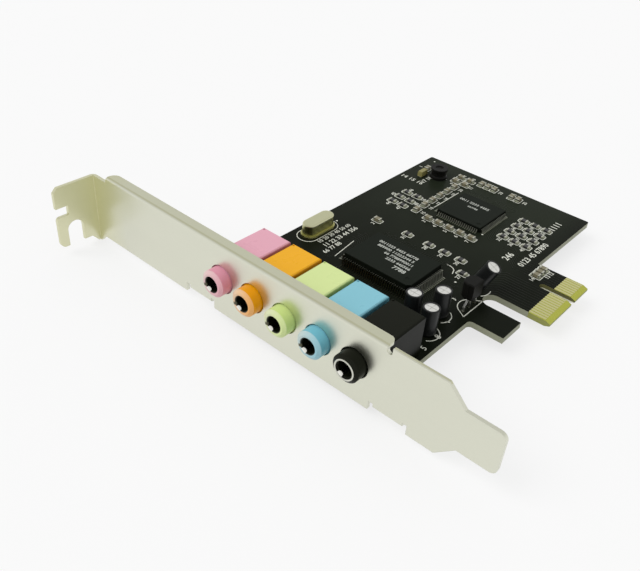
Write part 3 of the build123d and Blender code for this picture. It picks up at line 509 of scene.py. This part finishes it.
class StudioSettings(PropertyGroup):
    lens: FloatProperty(name="Lens", description="Focal length in millimetres", default=41.46, min=10.0,
                        subtype="DISTANCE_CAMERA")
    backdrop: FloatProperty(name="Backdrop", description="Brightness that the camera sees behind the card",
                            default=0.956, min=0.0, max=1.0, subtype="FACTOR")
    ceiling: FloatProperty(name="Ceiling", description="Brightness that gloss shows overhead",
                           default=0.72, min=0.0, max=1.0, subtype="FACTOR")
    room: FloatProperty(name="Room light", description="Soft light from all round", default=0.72, min=0.0)
    key: FloatProperty(name="Key light", description="Strength of the broad lamp", default=1.15, min=0.0)
    floor: FloatProperty(name="Floor", description="Length of the floor's side", default=8.0, min=1.0,
                         unit="LENGTH", subtype="DISTANCE")


# Operators.

class CARD_OT_bracket(Operator):
    """Gives the bracket its satin plated steel"""
    bl_idname = "card.finish_bracket"
    bl_label = "Finish bracket"

    def execute(self, context):
        steel = Finish("bracket_steel", context.scene.card_colours.steel, 0.33, metallic=1.0, grain=0.16,
                       contrast=0.02, blotch=0.02, relief=0.035, edge=0.15, worn=(0.8, 0.8, 0.7),
                       handled=0.05, stretch=(0.12, 1.0, 1.0))
        # Painted shade: the top of the flange is tinted darker, and a darker line is painted along the crease
        # of its bend.
        folded = steel.between("Z", BRACKET_HIGH.z - 0.4 * MM)
        flange_shade = steel.between("Y", ZERO.y + 0.7 * MM)
        crease_shade = steel.between("Y", ZERO.y + 0.35 * MM, ZERO.y + 0.75 * MM, 0.12)
        steel.tint(steel.common(folded, flange_shade), (0.92, 0.92, 0.84))
        steel.tint(steel.common(folded, crease_shade), (0.83, 0.82, 0.69))
        # Painted reflection: a warm yellow tint on the steel that fades away from the tab.
        tab_reflection = steel.between("X", high=ZERO.x + 6 * MM, soft=7.0)
        steel.tint(tab_reflection, (1.0, 0.98, 0.78))
        steel.paint("bracket")
        Finish("screw_steel", (0.72, 0.71, 0.67), 0.24, metallic=1.0, grain=0.2, contrast=0.05, relief=0.06,
               worn=(0.85, 0.85, 0.8)).paint("ear_screws")
        return {"FINISHED"}


def paler_far(finish, colour):
    """Paints a sheen that makes a coating paler towards the board's far edge, short of the contact tab."""
    far = ramp(finish.tree, finish.along("Y"), at(0, 35).y, at(0, 88).y, 0.0, 0.7)
    finish.over(finish.common(far, finish.between("X", BOARD_LOW.x - MM, at(88, 0).x, 4.0)), colour)


class CARD_OT_board(Operator):
    """Coats the board, bares its cut edges and its contact end, and plates the contacts"""
    bl_idname = "card.finish_board"
    bl_label = "Finish board"

    def execute(self, context):
        colours = context.scene.card_colours
        board = Finish("board", colours.mask, 0.33, specular=0.03, grain=0.5, contrast=0.12, blotch=0.25,
                       relief=0.05, edge=0.06, handled=0.08)
        # Painted sheen towards the far edge.
        paler_far(board, (0.019, 0.0245, 0.0145))
        tree = board.tree
        weave = add(tree, "ShaderNodeTexBrick", {
            "Vector": board.place, "Scale": 1500.0, "Color1": (0.9, 0.9, 0.9, 1), "Color2": (1, 1, 1, 1),
            "Mortar": (0.72, 0.72, 0.66, 1), "Mortar Size": 0.06})
        low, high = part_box("edge_contacts_upper")
        bare = board.common(board.between("X", low.x + 0.1 * MM),
                            board.between("Y", low.y - 2.0 * MM, high.y + 2.0 * MM))
        board.over(bare, blend_colours(tree, 1.0, rgba(colours.bare_tip), weave.outputs[0], "MULTIPLY"))
        normal = add(tree, "ShaderNodeSeparateXYZ", {0: add(tree, "ShaderNodeNewGeometry").outputs["Normal"]})
        wall = ramp(tree, maths(tree, "ABSOLUTE", normal.outputs[2]), 0.35, 0.6, 1.0, 0.0)
        board.over(wall, colours.laminate)
        board.over(board.common(wall, bare), (0.3, 0.31, 0.1))
        # Painted shade darkens the wall of the key slot, and a pale strip painted along the wall's foot
        # stands for light coming through the slot.
        row = contact_row()
        key = board.common(wall, board.between("Y", row[KEY_AFTER - 1][1].y, row[KEY_AFTER][0].y),
                           board.between("X", low.x - 6 * MM))
        board.over(key, (0.13, 0.125, 0.05))
        foot = board.between("Z", high=BOARD_LOW.z + 0.55 * MM, soft=0.08)
        board.over(board.common(key, foot), (0.8, 0.8, 0.66))
        board.paint("pcb")
        Finish("gold_contact", colours.gold, 0.3, metallic=1.0, grain=0.1, relief=0.05, edge=0.03,
               handled=0.1, stretch=(0.2, 1.0, 1.0)).paint("edge_contacts_upper", "edge_contacts_lower")
        return {"FINISHED"}


def bore_mouth(name):
    """The middle of a jack's mouth."""
    low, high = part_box(name + "_jack")
    return Vector(((low.x + high.x) / 2, low.y, at(0, 0, BORE_HEIGHT).z))


class CARD_OT_jacks(Operator):
    """Moulds the five jacks in their colours, with dark bores, and plates their terminals"""
    bl_idname = "card.finish_jacks"
    bl_label = "Finish jacks"

    def execute(self, context):
        tin = Finish("tinned_terminal", (0.74, 0.74, 0.72), 0.25, metallic=1.0, relief=0.05, edge=0.05)
        for name in JACKS:
            black = name == "black"
            mouth = bore_mouth(name)
            base = getattr(context.scene.card_colours, name)
            # Painted shade: a deeper, darker tone of the plastic for the barrels and the housings' right
            # sides.
            shade_tone = [(part / max(base)) ** 0.3 for part in base]
            plastic = Finish(name + "_plastic", base, 0.28, specular=0.05 if black else 0.2, grain=0.22,
                             contrast=0.02, blotch=0.02, relief=0.05, edge=0.12)
            # Painted shade on the housing's right side.
            side = plastic.between("X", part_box(name + "_jack")[1].x - 0.14 * MM, soft=0.06)
            plastic.tint(side, (0.5, 0.55, 0.45) if black else [part * 0.62 for part in shade_tone])
            if not black:
                # Painted shade: the barrel in front of the bracket takes the darker tone.
                shaded_barrel = plastic.between("Y", high=ZERO.y, soft=0.1)
                plastic.tint(shaded_barrel, shade_tone)
                # Painted highlight on the barrel's nose, strongest on its left.
                nose_highlight = plastic.between("Y", high=mouth.y + 0.65 * MM, soft=0.06)
                along = plastic.along("X")
                far = ramp(plastic.tree, along, mouth.x + 2.2 * MM, mouth.x - 2.4 * MM, 0.26, 0.66)
                plastic.over(plastic.common(nose_highlight, far), (0.68, 0.65, 0.56))
            # Painted shade deep inside the bore.
            inside = plastic.group(bore_group(), {
                "Place": plastic.place, "Axis": mouth, "Radius": 2.15 * MM, "Fade": 0.14 * MM})["Mask"]
            bore = plastic.common(inside, plastic.between("Y", high=mouth.y + 12 * MM))
            plastic.over(bore, (0.006, 0.007, 0.003))
            # Painted shade in the slot beside the mouth where the spring sits.
            slit_shade = plastic.common(plastic.between("X", mouth.x - 2.35 * MM, mouth.x - 1.6 * MM, 0.12),
                                  plastic.between("Z", mouth.z - 1.15 * MM, mouth.z - 0.45 * MM, 0.12),
                                  plastic.between("Y", high=mouth.y + 0.4 * MM))
            plastic.over(slit_shade, (0.1, 0.095, 0.06))
            plastic.paint(name + "_jack")
            tin.paint(name + "_jack_terminals")
        Finish("bright_ring", (0.66, 0.66, 0.58), 0.3, metallic=1.0, grain=0.1, contrast=0.03,
               relief=0.03).paint("black_jack_mouth_ring")
        return {"FINISHED"}


class CARD_OT_springs(Operator):
    """Bends the chromed contact spring that shows in each jack's mouth"""
    bl_idname = "card.jack_springs"
    bl_label = "Jack springs"

    def execute(self, context):
        chrome = Finish("spring_chrome", (0.95, 0.94, 0.88), 0.12, metallic=1.0, grain=0.1, contrast=0.03,
                        relief=0.02)
        lip, bed, start, length, steps = 2.06, 1.78, 0.22, 3.2, 14
        for name in JACKS:
            mouth = bore_mouth(name)
            strip = bmesh.new()
            rows = [self.row(strip, mouth, lip, 0.0, 0.0)]
            for k in range(steps + 1):
                depth = start + length * k / steps
                rise = 0.3 * self.ease((depth - 0.1) / 0.5) - 0.1 * self.ease((depth - 1.1) / 2.0)
                rows.append(self.row(strip, mouth, bed, rise, depth))
            for first, second in zip(rows, rows[1:]):
                for j in range(len(first) - 1):
                    strip.faces.new((first[j], first[j + 1], second[j + 1], second[j]))
            bmesh.ops.recalc_face_normals(strip, faces=strip.faces)
            bmesh.ops.solidify(strip, geom=strip.faces[:], thickness=0.08 * MM)
            bmesh.ops.recalc_face_normals(strip, faces=strip.faces)
            mesh = bpy.data.meshes.new(name + "_jack_spring")
            strip.to_mesh(mesh)
            strip.free()
            mesh.shade_smooth()
            mesh.set_sharp_from_angle(angle=math.radians(40))
            keep(new_piece(name + "_jack_spring", mesh, chrome.material))
        return {"FINISHED"}

    @staticmethod
    def ease(share):
        share = min(max(share, 0.0), 1.0)
        return share * share * (3 - 2 * share)

    @staticmethod
    def row(strip, mouth, bed, rise, depth):
        """Points across the spring, which rises from its bed like a spoon; sizes in millimetres."""
        made = []
        for across in (k / 4 - 1 for k in range(9)):
            angle = math.radians(240 + 19 * across)
            radius = bed - rise * (1 - 0.7 * across ** 4)
            made.append(strip.verts.new((mouth.x + radius * MM * math.cos(angle), mouth.y + depth * MM,
                                         mouth.z + radius * MM * math.sin(angle))))
        return made


def near_leads(finish):
    """A mask for the large chip's row of leads on the jacks' side, where shade is painted."""
    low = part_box("large_chip_leads")[0].y
    return finish.between("Y", low - MM, low + 1.4 * MM, 0.1)


# Painted shade on the large chip's leads and pads on the jacks' side.
NEAR_LEAD_SHADE = (0.16, 0.16, 0.13)


class CARD_OT_chips(Operator):
    """Gives the two chips their epoxy and tinned leads"""
    bl_idname = "card.finish_chips"
    bl_label = "Finish chips"

    def execute(self, context):
        mould = Finish("chip_mould", context.scene.card_colours.mould, 0.5, specular=0.03, grain=0.12,
                       contrast=0.3, blotch=0.06, relief=0.35, worn=(0.035, 0.038, 0.032))
        lead = Finish("chip_lead", (0.3, 0.31, 0.26), 0.5, metallic=1.0, grain=0.15, relief=0.05, edge=0.03)
        # Painted shade on the leads on the jacks' side.
        lead.tint(near_leads(lead), NEAR_LEAD_SHADE)
        for name in CHIPS:
            low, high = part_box(name + "_body")
            # Painted shade: the chips' sides below their tops are darker.
            wall = mould.common(mould.between("Z", high=high.z - 0.2 * MM, soft=0.08),
                                mould.between("Y", low.y - MM, high.y + MM))
            mould.tint(wall, (0.4, 0.4, 0.36))
            mould.paint(name + "_body")
            lead.paint(name + "_leads")
        return {"FINISHED"}


class CARD_OT_small_parts(Operator):
    """Finishes the crystal, capacitors, regulator, choke, chip parts and solder"""
    bl_idname = "card.finish_small_parts"
    bl_label = "Finish small parts"

    def execute(self, context):
        crystal = Finish("crystal_metal", (0.6, 0.6, 0.39), 0.3, metallic=1.0, grain=0.2, contrast=0.05,
                         blotch=0.06, relief=0.06, worn=(0.7, 0.7, 0.54))
        # Painted shade: the crystal's sides below its top are darker and yellower.
        wall = crystal.between("Z", BOARD_LOW.z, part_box("crystal_can")[1].z - 0.6 * MM, 0.3)
        crystal.tint(wall, (0.74, 0.72, 0.46))
        crystal.paint("crystal_can", "crystal_header")
        can = Finish("capacitor_can", (0.84, 0.84, 0.81), 0.34, metallic=1.0, grain=0.12, relief=0.08)
        sleeve = Finish("capacitor_sleeve", (0.01, 0.011, 0.011), 0.3, specular=0.25, grain=0.3,
                        contrast=0.08, relief=0.05)
        bung = Finish("rubber_bung", (0.03, 0.03, 0.028), 0.7, grain=0.2, contrast=0.15, relief=0.3)
        for name in ("capacitor_one", "capacitor_two", "capacitor_three", "leaning_capacitor"):
            can.paint(name + "_can")
            sleeve.paint(name + "_sleeve")
            bung.paint(name + "_bung")
        Finish("regulator_mould", (0.007, 0.007, 0.006), 0.45, specular=0.08, grain=0.12, contrast=0.25,
               relief=0.3).paint("regulator_body")
        Finish("choke_black", (0.0065, 0.0065, 0.0055), 0.4, specular=0.08, grain=0.2, contrast=0.2,
               relief=0.2).paint("choke_body")
        Finish("ceramic_tan", (0.2, 0.18, 0.11), 0.4, grain=0.15,
               contrast=0.12).paint("chip_capacitor_bodies")
        Finish("resistor_black", (0.018, 0.018, 0.018), 0.35, grain=0.15,
               contrast=0.15).paint("chip_resistor_bodies")
        Finish("tantalum_mould", (0.25, 0.225, 0.075), 0.45, grain=0.15, contrast=0.1,
               relief=0.2).paint("tantalum_body")
        Finish("tin_end", (0.56, 0.56, 0.48), 0.36, metallic=1.0, grain=0.12, contrast=0.08,
               relief=0.12).paint("chip_capacitor_ends", "chip_resistor_ends", "tantalum_tabs")
        Finish("solder", (0.7, 0.7, 0.68), 0.25, metallic=1.0, grain=0.3, contrast=0.1,
               relief=0.15).paint("solder_joints")
        Finish("tinned_lead", (0.72, 0.72, 0.69), 0.3, metallic=1.0, grain=0.15,
               relief=0.08).paint("capacitor_leads", "crystal_leads", "choke_leads", "regulator_leads")
        return {"FINISHED"}


def chip_parts():
    """Middle and turn of each chip part, from its body and the metal ends beside it."""
    found = []
    for kind in CHIP_PARTS:
        ends = [middle(box) for box in solids(kind + "_ends")]
        for box in solids(kind + "_bodies"):
            spot = middle(box)
            near = min(ends, key=lambda end: (end - spot).length)
            found.append((spot, 0.0 if straight(near - spot).x else QUARTER))
    return found


def print_finish(context):
    name = "board_ink"
    if name in bpy.data.materials:
        return bpy.data.materials[name]
    return Finish(name, context.scene.card_colours.print, 0.55, grain=0.1, contrast=0.1, blotch=0.08,
                  edge=0.01).material


class CARD_OT_print(Operator):
    """Prints the pale outlines, lines, arcs and marks on the board"""
    bl_idname = "card.board_print"
    bl_label = "Board print"

    def execute(self, context):
        sizes = context.scene.card_print
        rise = sizes.thickness / 2 - SUNK
        flat = {"Thickness": sizes.thickness, "Finish": print_finish(context)}
        spots, turns = zip(*chip_parts())
        margin = 2 * sizes.outline_margin
        lay("part_outlines", repeat_tree("outline"),
            {**flat, "Length": 2.36 * MM + margin, "Width": 1.3 * MM + margin, "Line": sizes.line},
            [lifted(spot, rise) for spot in spots], turns=turns)
        points, edges = chain([
            [(53.7, 33.3), (52.5, 42.4)],
            [(75.7, 51.5), (76.7, 51.5), (77.7, 51.2), (78.4, 50.6), (79.0, 48.9)],
            [(57.0, 73.2), (57.1, 85.9)],
            [(90.4, 36.15), (90.4, 44.6)],
            [(90.4, 36.15)] + arc(90.0, 40.35, 3.35, 246, 114) + [(90.4, 44.6)],
            arc(86.4, 48.4, 3.45, -42, 20),
            arc(86.0, 32.6, 2.9, -48, 62),
            arc(87.7, 25.2, 2.9, -60, 75),
            arc(81.9, 26.9, 2.9, 100, 260),
            self.crystal_ring(),
        ])
        lay("print_lines", stroke_tree(), {**flat, "Width": sizes.line},
            [lifted(at(x, y), rise) for x, y in points], edges)
        dots = [(81.5, 46.5), (40.6, 97.5), (74.4, 70.9), (42.9, 46.8), (89.05, 32.0)]
        lay("print_dots", repeat_tree("ring"),
            {**flat, "Length": 0.3 * MM, "Line": 0.28 * MM}, [lifted(at(x, y), rise) for x, y in dots])
        return {"FINISHED"}

    @staticmethod
    def crystal_ring():
        """The closed line round the crystal, long across the card."""
        low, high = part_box("crystal_header")
        left, near = measured(low)
        right, far = measured(high)
        room, inset = 0.55, 1.9
        radius = (right - left) / 2 + room
        x = (left + right) / 2
        line = arc(x, near + inset, radius, 180, 360) + arc(x, far - inset, radius, 0, 180)
        return line + line[:1]


# Rows on the board: figures, height, place along and across the card, turn.
BOARD_ROWS = (
    ("0123 45 67890", 1.75, 89.2, 72.4, QUARTER),
    ("246", 1.9, 84.9, 66.6, QUARTER),
    ("4", 1.3, 85.3, 73.9, QUARTER),
    ("6", 1.3, 85.4, 78.4, QUARTER),
    ("10 20 30 40 50 60", 1.25, 46.6, 41.4, QUARTER),
    ("11 22 33 44 556", 1.45, 48.8, 41.4, QUARTER),
    ("66 77 88", 1.35, 50.7, 35.8, QUARTER),
    ("14 15 16", 1.6, 42.6, 82.3, 0.0),
    ("17 18", 1.5, 45.9, 85.3, QUARTER),
    ("19", 1.2, 42.6, 92.6, 0.0),
    ("111", 1.6, 48.6, 89.6, 0.0),
    ("1111", 1.7, 60.8, 96.9, 0.0),
    ("8", 1.6, 90.3, 25.8, QUARTER),
    ("5", 1.6, 90.3, 20.3, QUARTER),
    ("3", 1.1, 85.2, 40.3, QUARTER),
    ("12 13", 1.3, 93.4, 67.6, QUARTER),
    ("9", 1.3, 84.9, 84.3, QUARTER),
    ("1111", 2.0, 86.6, 90.0, QUARTER),
    ("21", 1.3, 45.7, 95.6, 0.0),
)

# Rows on the chips: figures, share of the chip figure's height, place from the chip's middle.
CHIP_ROWS = {
    "large_chip_body": (
        ("0011223 4455 66778", 1.0, -1.2, 3.9), ("889900 11223344 5", 1.0, -0.8, 2.2),
        ("66 7788990011", 1.0, 1.3, 0.5), ("2233 445566", 1.0, 2.3, -1.2), ("7788", 1.35, 4.0, -3.1)),
    "small_chip_body": (("0011 2233 4455", 1.05, -1.2, 3.2), ("667788", 0.75, -0.4, 0.9)),
}


class CARD_OT_numerals(Operator):
    """Sets plain numerals beside the parts and in rows on the chips"""
    bl_idname = "card.numerals"
    bl_label = "Numerals"

    def execute(self, context):
        sizes = context.scene.card_print
        half = 0.75  # half of the room that one small numeral takes
        made = []
        taken = self.taken_boxes()
        for count, (spot, turn) in enumerate(chip_parts(), start=1):
            mid_x, mid_y = measured(spot)
            for dx, dy in ((0.0, -2.0), (2.3, 0.0), (0.0, 2.0), (-2.3, 0.0)):
                x = mid_x + dx
                y = mid_y + dy
                box = (x - half, y - half, x + half, y + half)
                if self.clear(box, taken):
                    taken.append(box)
                    made.append(numeral(str(count), sizes.figure, x, y, QUARTER,
                                        BOARD_HIGH.z, sizes.thickness))
                    break
        for text, tall, x, y, turn in BOARD_ROWS:
            made.append(numeral(text, tall * MM, x, y, turn, BOARD_HIGH.z, sizes.thickness))
        keep_print("board_numerals", made, print_finish(context))
        laser = Finish("laser_mark", (0.5, 0.52, 0.47), 0.6, grain=0.1, contrast=0.15, edge=0.01)
        made = []
        for name, rows in CHIP_ROWS.items():
            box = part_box(name)
            x, y = measured(middle(box))
            z = box[1].z - 2 * SUNK
            for text, share, dx, dy in rows:
                made.append(numeral(text, sizes.chip_figure * share, x + dx, y + dy, 0.0,
                                    z, 0.012 * MM, 0.03))
        keep_print("chip_numerals", made, laser.material)
        return {"FINISHED"}

    @staticmethod
    def clear(box, taken):
        return all(box[2] < t[0] or box[0] > t[2] or box[3] < t[1] or box[1] > t[3] for t in taken)

    @staticmethod
    def taken_boxes():
        """Room that the parts on the board take, with a margin, in millimetres."""
        margin = 0.25
        boxes = []
        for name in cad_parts:
            if name in ("pcb", "bracket", "solder_joints"):
                continue
            for low, high in solids(name):
                if high.z > BOARD_HIGH.z + 0.1 * MM:
                    boxes.append(tuple(part - margin for part in measured(low))
                                 + tuple(part + margin for part in measured(high)))
        return boxes


def outward(spot, low, high):
    """The way that a lead points out of its chip, whose leads fill the box from low to high."""
    away = spot - (low + high) / 2
    to_end, to_side = (min(abs(spot[k] - low[k]), abs(spot[k] - high[k])) for k in range(2))
    away[1 if to_end < to_side else 0] = 0.0
    return straight(away)


class CARD_OT_copper(Operator):
    """Lays the tracks under the coating, the vias, the pads under the leads and their solder"""
    bl_idname = "card.copper"
    bl_label = "Copper"

    def execute(self, context):
        sizes = context.scene.card_copper
        covered = Finish("covered_copper", (0.0105, 0.0125, 0.0085), 0.32, specular=0.035, grain=0.4,
                         contrast=0.1, relief=0.05, edge=0.02)
        # Painted sheen towards the far edge, as on the board.
        paler_far(covered, (0.0215, 0.0275, 0.017))
        tin = Finish("pad_tin", (0.42, 0.44, 0.33), 0.4, metallic=1.0, grain=0.15, contrast=0.12, relief=0.15,
                     edge=0.02)
        # Painted shade on the large chip's pads on the jacks' side.
        low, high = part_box("large_chip_leads")
        near = tin.common(near_leads(tin), tin.between("X", low.x + MM, high.x - MM, 0.1))
        tin.tint(near, NEAR_LEAD_SHADE)
        lines, ends = self.tracks()
        track = {"Width": sizes.track, "Thickness": sizes.thickness, "Finish": covered.material}
        points, edges = chain(lines)
        lay("upper_tracks", stroke_tree(), track, points, edges)
        below = BOARD_LOW.z - sizes.thickness / 2 + SUNK
        points, edges = chain(lines[::2])
        lay("lower_tracks", stroke_tree(), track, [(p.x, p.y, below) for p in points], edges)
        drop = Vector((0, 0, BOARD_HIGH.z - BOARD_LOW.z + sizes.thickness))
        lay("vias", repeat_tree("ring"),
            {"Length": sizes.via * 0.7, "Thickness": sizes.thickness * 1.5, "Line": sizes.via * 0.3,
             "Finish": covered.material}, ends + [end - drop for end in ends])
        self.pads(tin.material)
        return {"FINISHED"}

    def tracks(self):
        """Tracks that fan out from the chips' leads at 45 degrees, and tracks from the contacts, to vias."""
        rise = 0.008 * MM
        lines = []
        ends = []
        for name in CHIPS:
            low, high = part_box(name + "_leads")
            centre = (low + high) / 2
            for k, box in enumerate(solids(name + "_leads")):
                spot = middle(box)
                out = outward(spot, low, high)
                axis = 1 if out.x else 0
                off = spot[axis] - centre[axis]
                side = Vector()
                side[axis] = math.copysign(1.0, off)
                share = abs(off) / (high[axis] - low[axis])
                start = lifted(spot, rise) + out * 0.6 * MM
                first = start + out * (0.5 + 2.4 * (0.5 - share)) * MM
                second = first + (out + side) * (0.9 + 2.2 * share) * MM
                third = second + out * (0.6 + 0.5 * (k % 3)) * MM
                if self.inside(third):
                    lines.append([start, first, second, third])
                    ends.append(third + out * 0.2 * MM)
        for k, box in enumerate(contact_row()):
            start = Vector((box[0].x + 0.2 * MM, middle(box).y, BOARD_HIGH.z + rise))
            first = Vector((at(91.0 - 0.25 * k, 0).x, start.y, start.z))
            second = first + Vector((-1, -1 if k < KEY_AFTER else 1, 0)) * 2.6 * MM
            third = second - Vector((1.0 + 0.6 * (k % 4), 0, 0)) * MM
            lines.append([start, first, second, third])
            ends.append(third)
        return lines, ends

    @staticmethod
    def inside(spot):
        """Whether a via fits there, on the board's main part."""
        return BOARD_LOW.x + MM < spot.x < at(91.4, 0).x and at(0, 19.0).y < spot.y < BOARD_HIGH.y - MM

    @staticmethod
    def pads(tin):
        thickness = 0.03 * MM
        rise = thickness / 2 - 0.003 * MM
        shown = 0.15  # how far a pad reaches past its lead
        plate = repeat_tree("plate")
        for name, length, width in (("large_chip", 1.15, 0.36), ("small_chip", 0.8, 0.34)):
            low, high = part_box(name + "_leads")
            spots = []
            turns = []
            for box in solids(name + "_leads"):
                foot = lifted(middle(box), rise)
                out = outward(foot, low, high)
                axis = 0 if out.x else 1
                edge = high if out[axis] > 0 else low
                foot[axis] = edge[axis] + out[axis] * (shown - length / 2) * MM
                spots.append(foot)
                turns.append(axis * QUARTER)
            lay(name + "_pads", plate,
                {"Length": length * MM, "Width": width * MM, "Thickness": thickness, "Finish": tin},
                spots, turns=turns)
        spots = []
        heaps = []
        turns = []
        for kind in CHIP_PARTS:
            bodies = [middle(box) for box in solids(kind + "_bodies")]
            for box in solids(kind + "_ends"):
                spot = middle(box)
                away = straight(spot - min(bodies, key=lambda body: (body - spot).length))
                turns.append(math.atan2(away.y, away.x))
                spots.append(lifted(spot, rise) + away * 0.12 * MM)
                heaps.append(lifted(spot, 0.14 * MM) + away * 0.22 * MM)
        lay("part_pads", plate,
            {"Length": 0.86 * MM, "Width": 1.34 * MM, "Thickness": thickness, "Finish": tin},
            spots, turns=turns)
        lay("part_solder", repeat_tree("heap"),
            {"Length": 0.5 * MM, "Width": 1.2 * MM, "Thickness": 0.28 * MM, "Finish": tin},
            heaps, turns=turns)


class CARD_OT_studio(Operator):
    """Sets the pale floor, the soft light and the camera"""
    bl_idname = "card.studio"
    bl_label = "Studio"

    def execute(self, context):
        scene = context.scene
        studio = scene.card_studio
        scene.view_settings.view_transform = "Standard"
        self.world(scene, studio)
        self.floor(studio)
        lamp = bpy.data.lights.new("key_light", "SUN")
        lamp.energy = studio.key
        lamp.angle = math.radians(38)
        key = new_piece("key_light", lamp)
        key.rotation_euler = Vector((0.42, 0.55, -0.78)).to_track_quat("-Z", "Y").to_euler()
        key.visible_glossy = False
        camera = bpy.data.cameras.new("camera")
        camera.lens = studio.lens
        camera.sensor_width = 36.0
        camera.clip_start = 0.01
        camera.clip_end = 50.0
        view = new_piece("camera", camera)
        view.location = at(*CAMERA_PLACE)
        view.rotation_euler = [math.radians(angle) for angle in CAMERA_TURN]
        scene.camera = view
        return {"FINISHED"}

    @staticmethod
    def split(tree, end, light, shown):
        """Shows one shader to the camera, gloss and glass, and another to all other rays."""
        path = add(tree, "ShaderNodeLightPath").outputs
        seen = maths(tree, "MAXIMUM", path["Is Camera Ray"], path["Is Glossy Ray"])
        seen = maths(tree, "MAXIMUM", seen, path["Is Transmission Ray"])
        mixed = add(tree, "ShaderNodeMixShader", {0: seen, 1: light.outputs[0], 2: shown.outputs[0]})
        add(tree, end, {"Surface": mixed.outputs[0]})

    def world(self, scene, studio):
        world = bpy.data.worlds.new("studio")
        scene.world = world
        tree = empty_tree(world)
        gloss = add(tree, "ShaderNodeLightPath").outputs["Is Glossy Ray"]
        height = add(tree, "ShaderNodeSeparateXYZ", {0: add(tree, "ShaderNodeTexCoord").outputs["Generated"]})
        mask = maths(tree, "MULTIPLY", gloss, ramp(tree, height.outputs[2], 0.12, 0.6))
        wall = rgba([studio.backdrop] * 3)
        above = rgba((studio.ceiling, studio.ceiling, studio.ceiling * 0.98))
        shown = add(tree, "ShaderNodeBackground", {"Color": blend_colours(tree, mask, wall, above)})
        light = add(tree, "ShaderNodeBackground", {"Color": (1.0, 1.0, 1.0, 1.0), "Strength": studio.room})
        self.split(tree, "ShaderNodeOutputWorld", light, shown)

    def floor(self, studio):
        half = studio.floor / 2
        corners = [(-half, -half, 0), (half, -half, 0), (half, half, 0), (-half, half, 0)]
        mesh = bpy.data.meshes.new("studio_floor")
        mesh.from_pydata(corners, [], [(0, 1, 2, 3)])
        material = bpy.data.materials.new("studio_floor")
        tree = empty_tree(material)
        shade = 0.22
        dull = add(tree, "ShaderNodeBsdfDiffuse", {"Color": rgba([shade] * 3)})
        glow = add(tree, "ShaderNodeEmission", {"Color": rgba([studio.backdrop - shade] * 3)})
        shown = add(tree, "ShaderNodeAddShader", {0: dull.outputs[0], 1: glow.outputs[0]})
        plain = add(tree, "ShaderNodeBsdfDiffuse", {"Color": (0.8, 0.8, 0.8, 1.0)})
        self.split(tree, "ShaderNodeOutputMaterial", plain, shown)
        floor = new_piece("studio_floor", mesh, material)


class CARD_PT_sidebar(Panel):
    """Lists the card's finishing steps and their settings"""
    bl_idname = "CARD_PT_sidebar"
    bl_label = "Sound Card"
    bl_space_type = "VIEW_3D"
    bl_region_type = "UI"
    bl_category = "Sound Card"

    def draw(self, context):
        layout = self.layout
        for step in STEPS:
            layout.operator(step.bl_idname)
        for name in SETTINGS:
            box = layout.box()
            settings = getattr(context.scene, name)
            for key in settings.bl_rna.properties.keys():
                if key not in ("rna_type", "name"):
                    box.prop(settings, key)


STEPS = (CARD_OT_studio, CARD_OT_bracket, CARD_OT_board, CARD_OT_jacks, CARD_OT_springs, CARD_OT_chips,
         CARD_OT_small_parts, CARD_OT_copper, CARD_OT_print, CARD_OT_numerals)
SETTINGS = {"card_colours": CardColours, "card_print": PrintSizes, "card_copper": CopperSizes,
            "card_studio": StudioSettings}
CLASSES = (*SETTINGS.values(), *STEPS, CARD_PT_sidebar)


def register():
    for item in CLASSES:
        bpy.utils.register_class(item)
    for name, group in SETTINGS.items():
        setattr(bpy.types.Scene, name, PointerProperty(type=group))


def unregister():
    for name in SETTINGS:
        delattr(bpy.types.Scene, name)
    for item in reversed(CLASSES):
        bpy.utils.unregister_class(item)


def main():
    register()
    for step in STEPS:
        family, name = step.bl_idname.split(".")
        outcome = getattr(getattr(bpy.ops, family), name)()
        if outcome != {"FINISHED"}:
            raise RuntimeError(step.bl_label + " didn't finish")


if __name__ == "__main__":
    main()
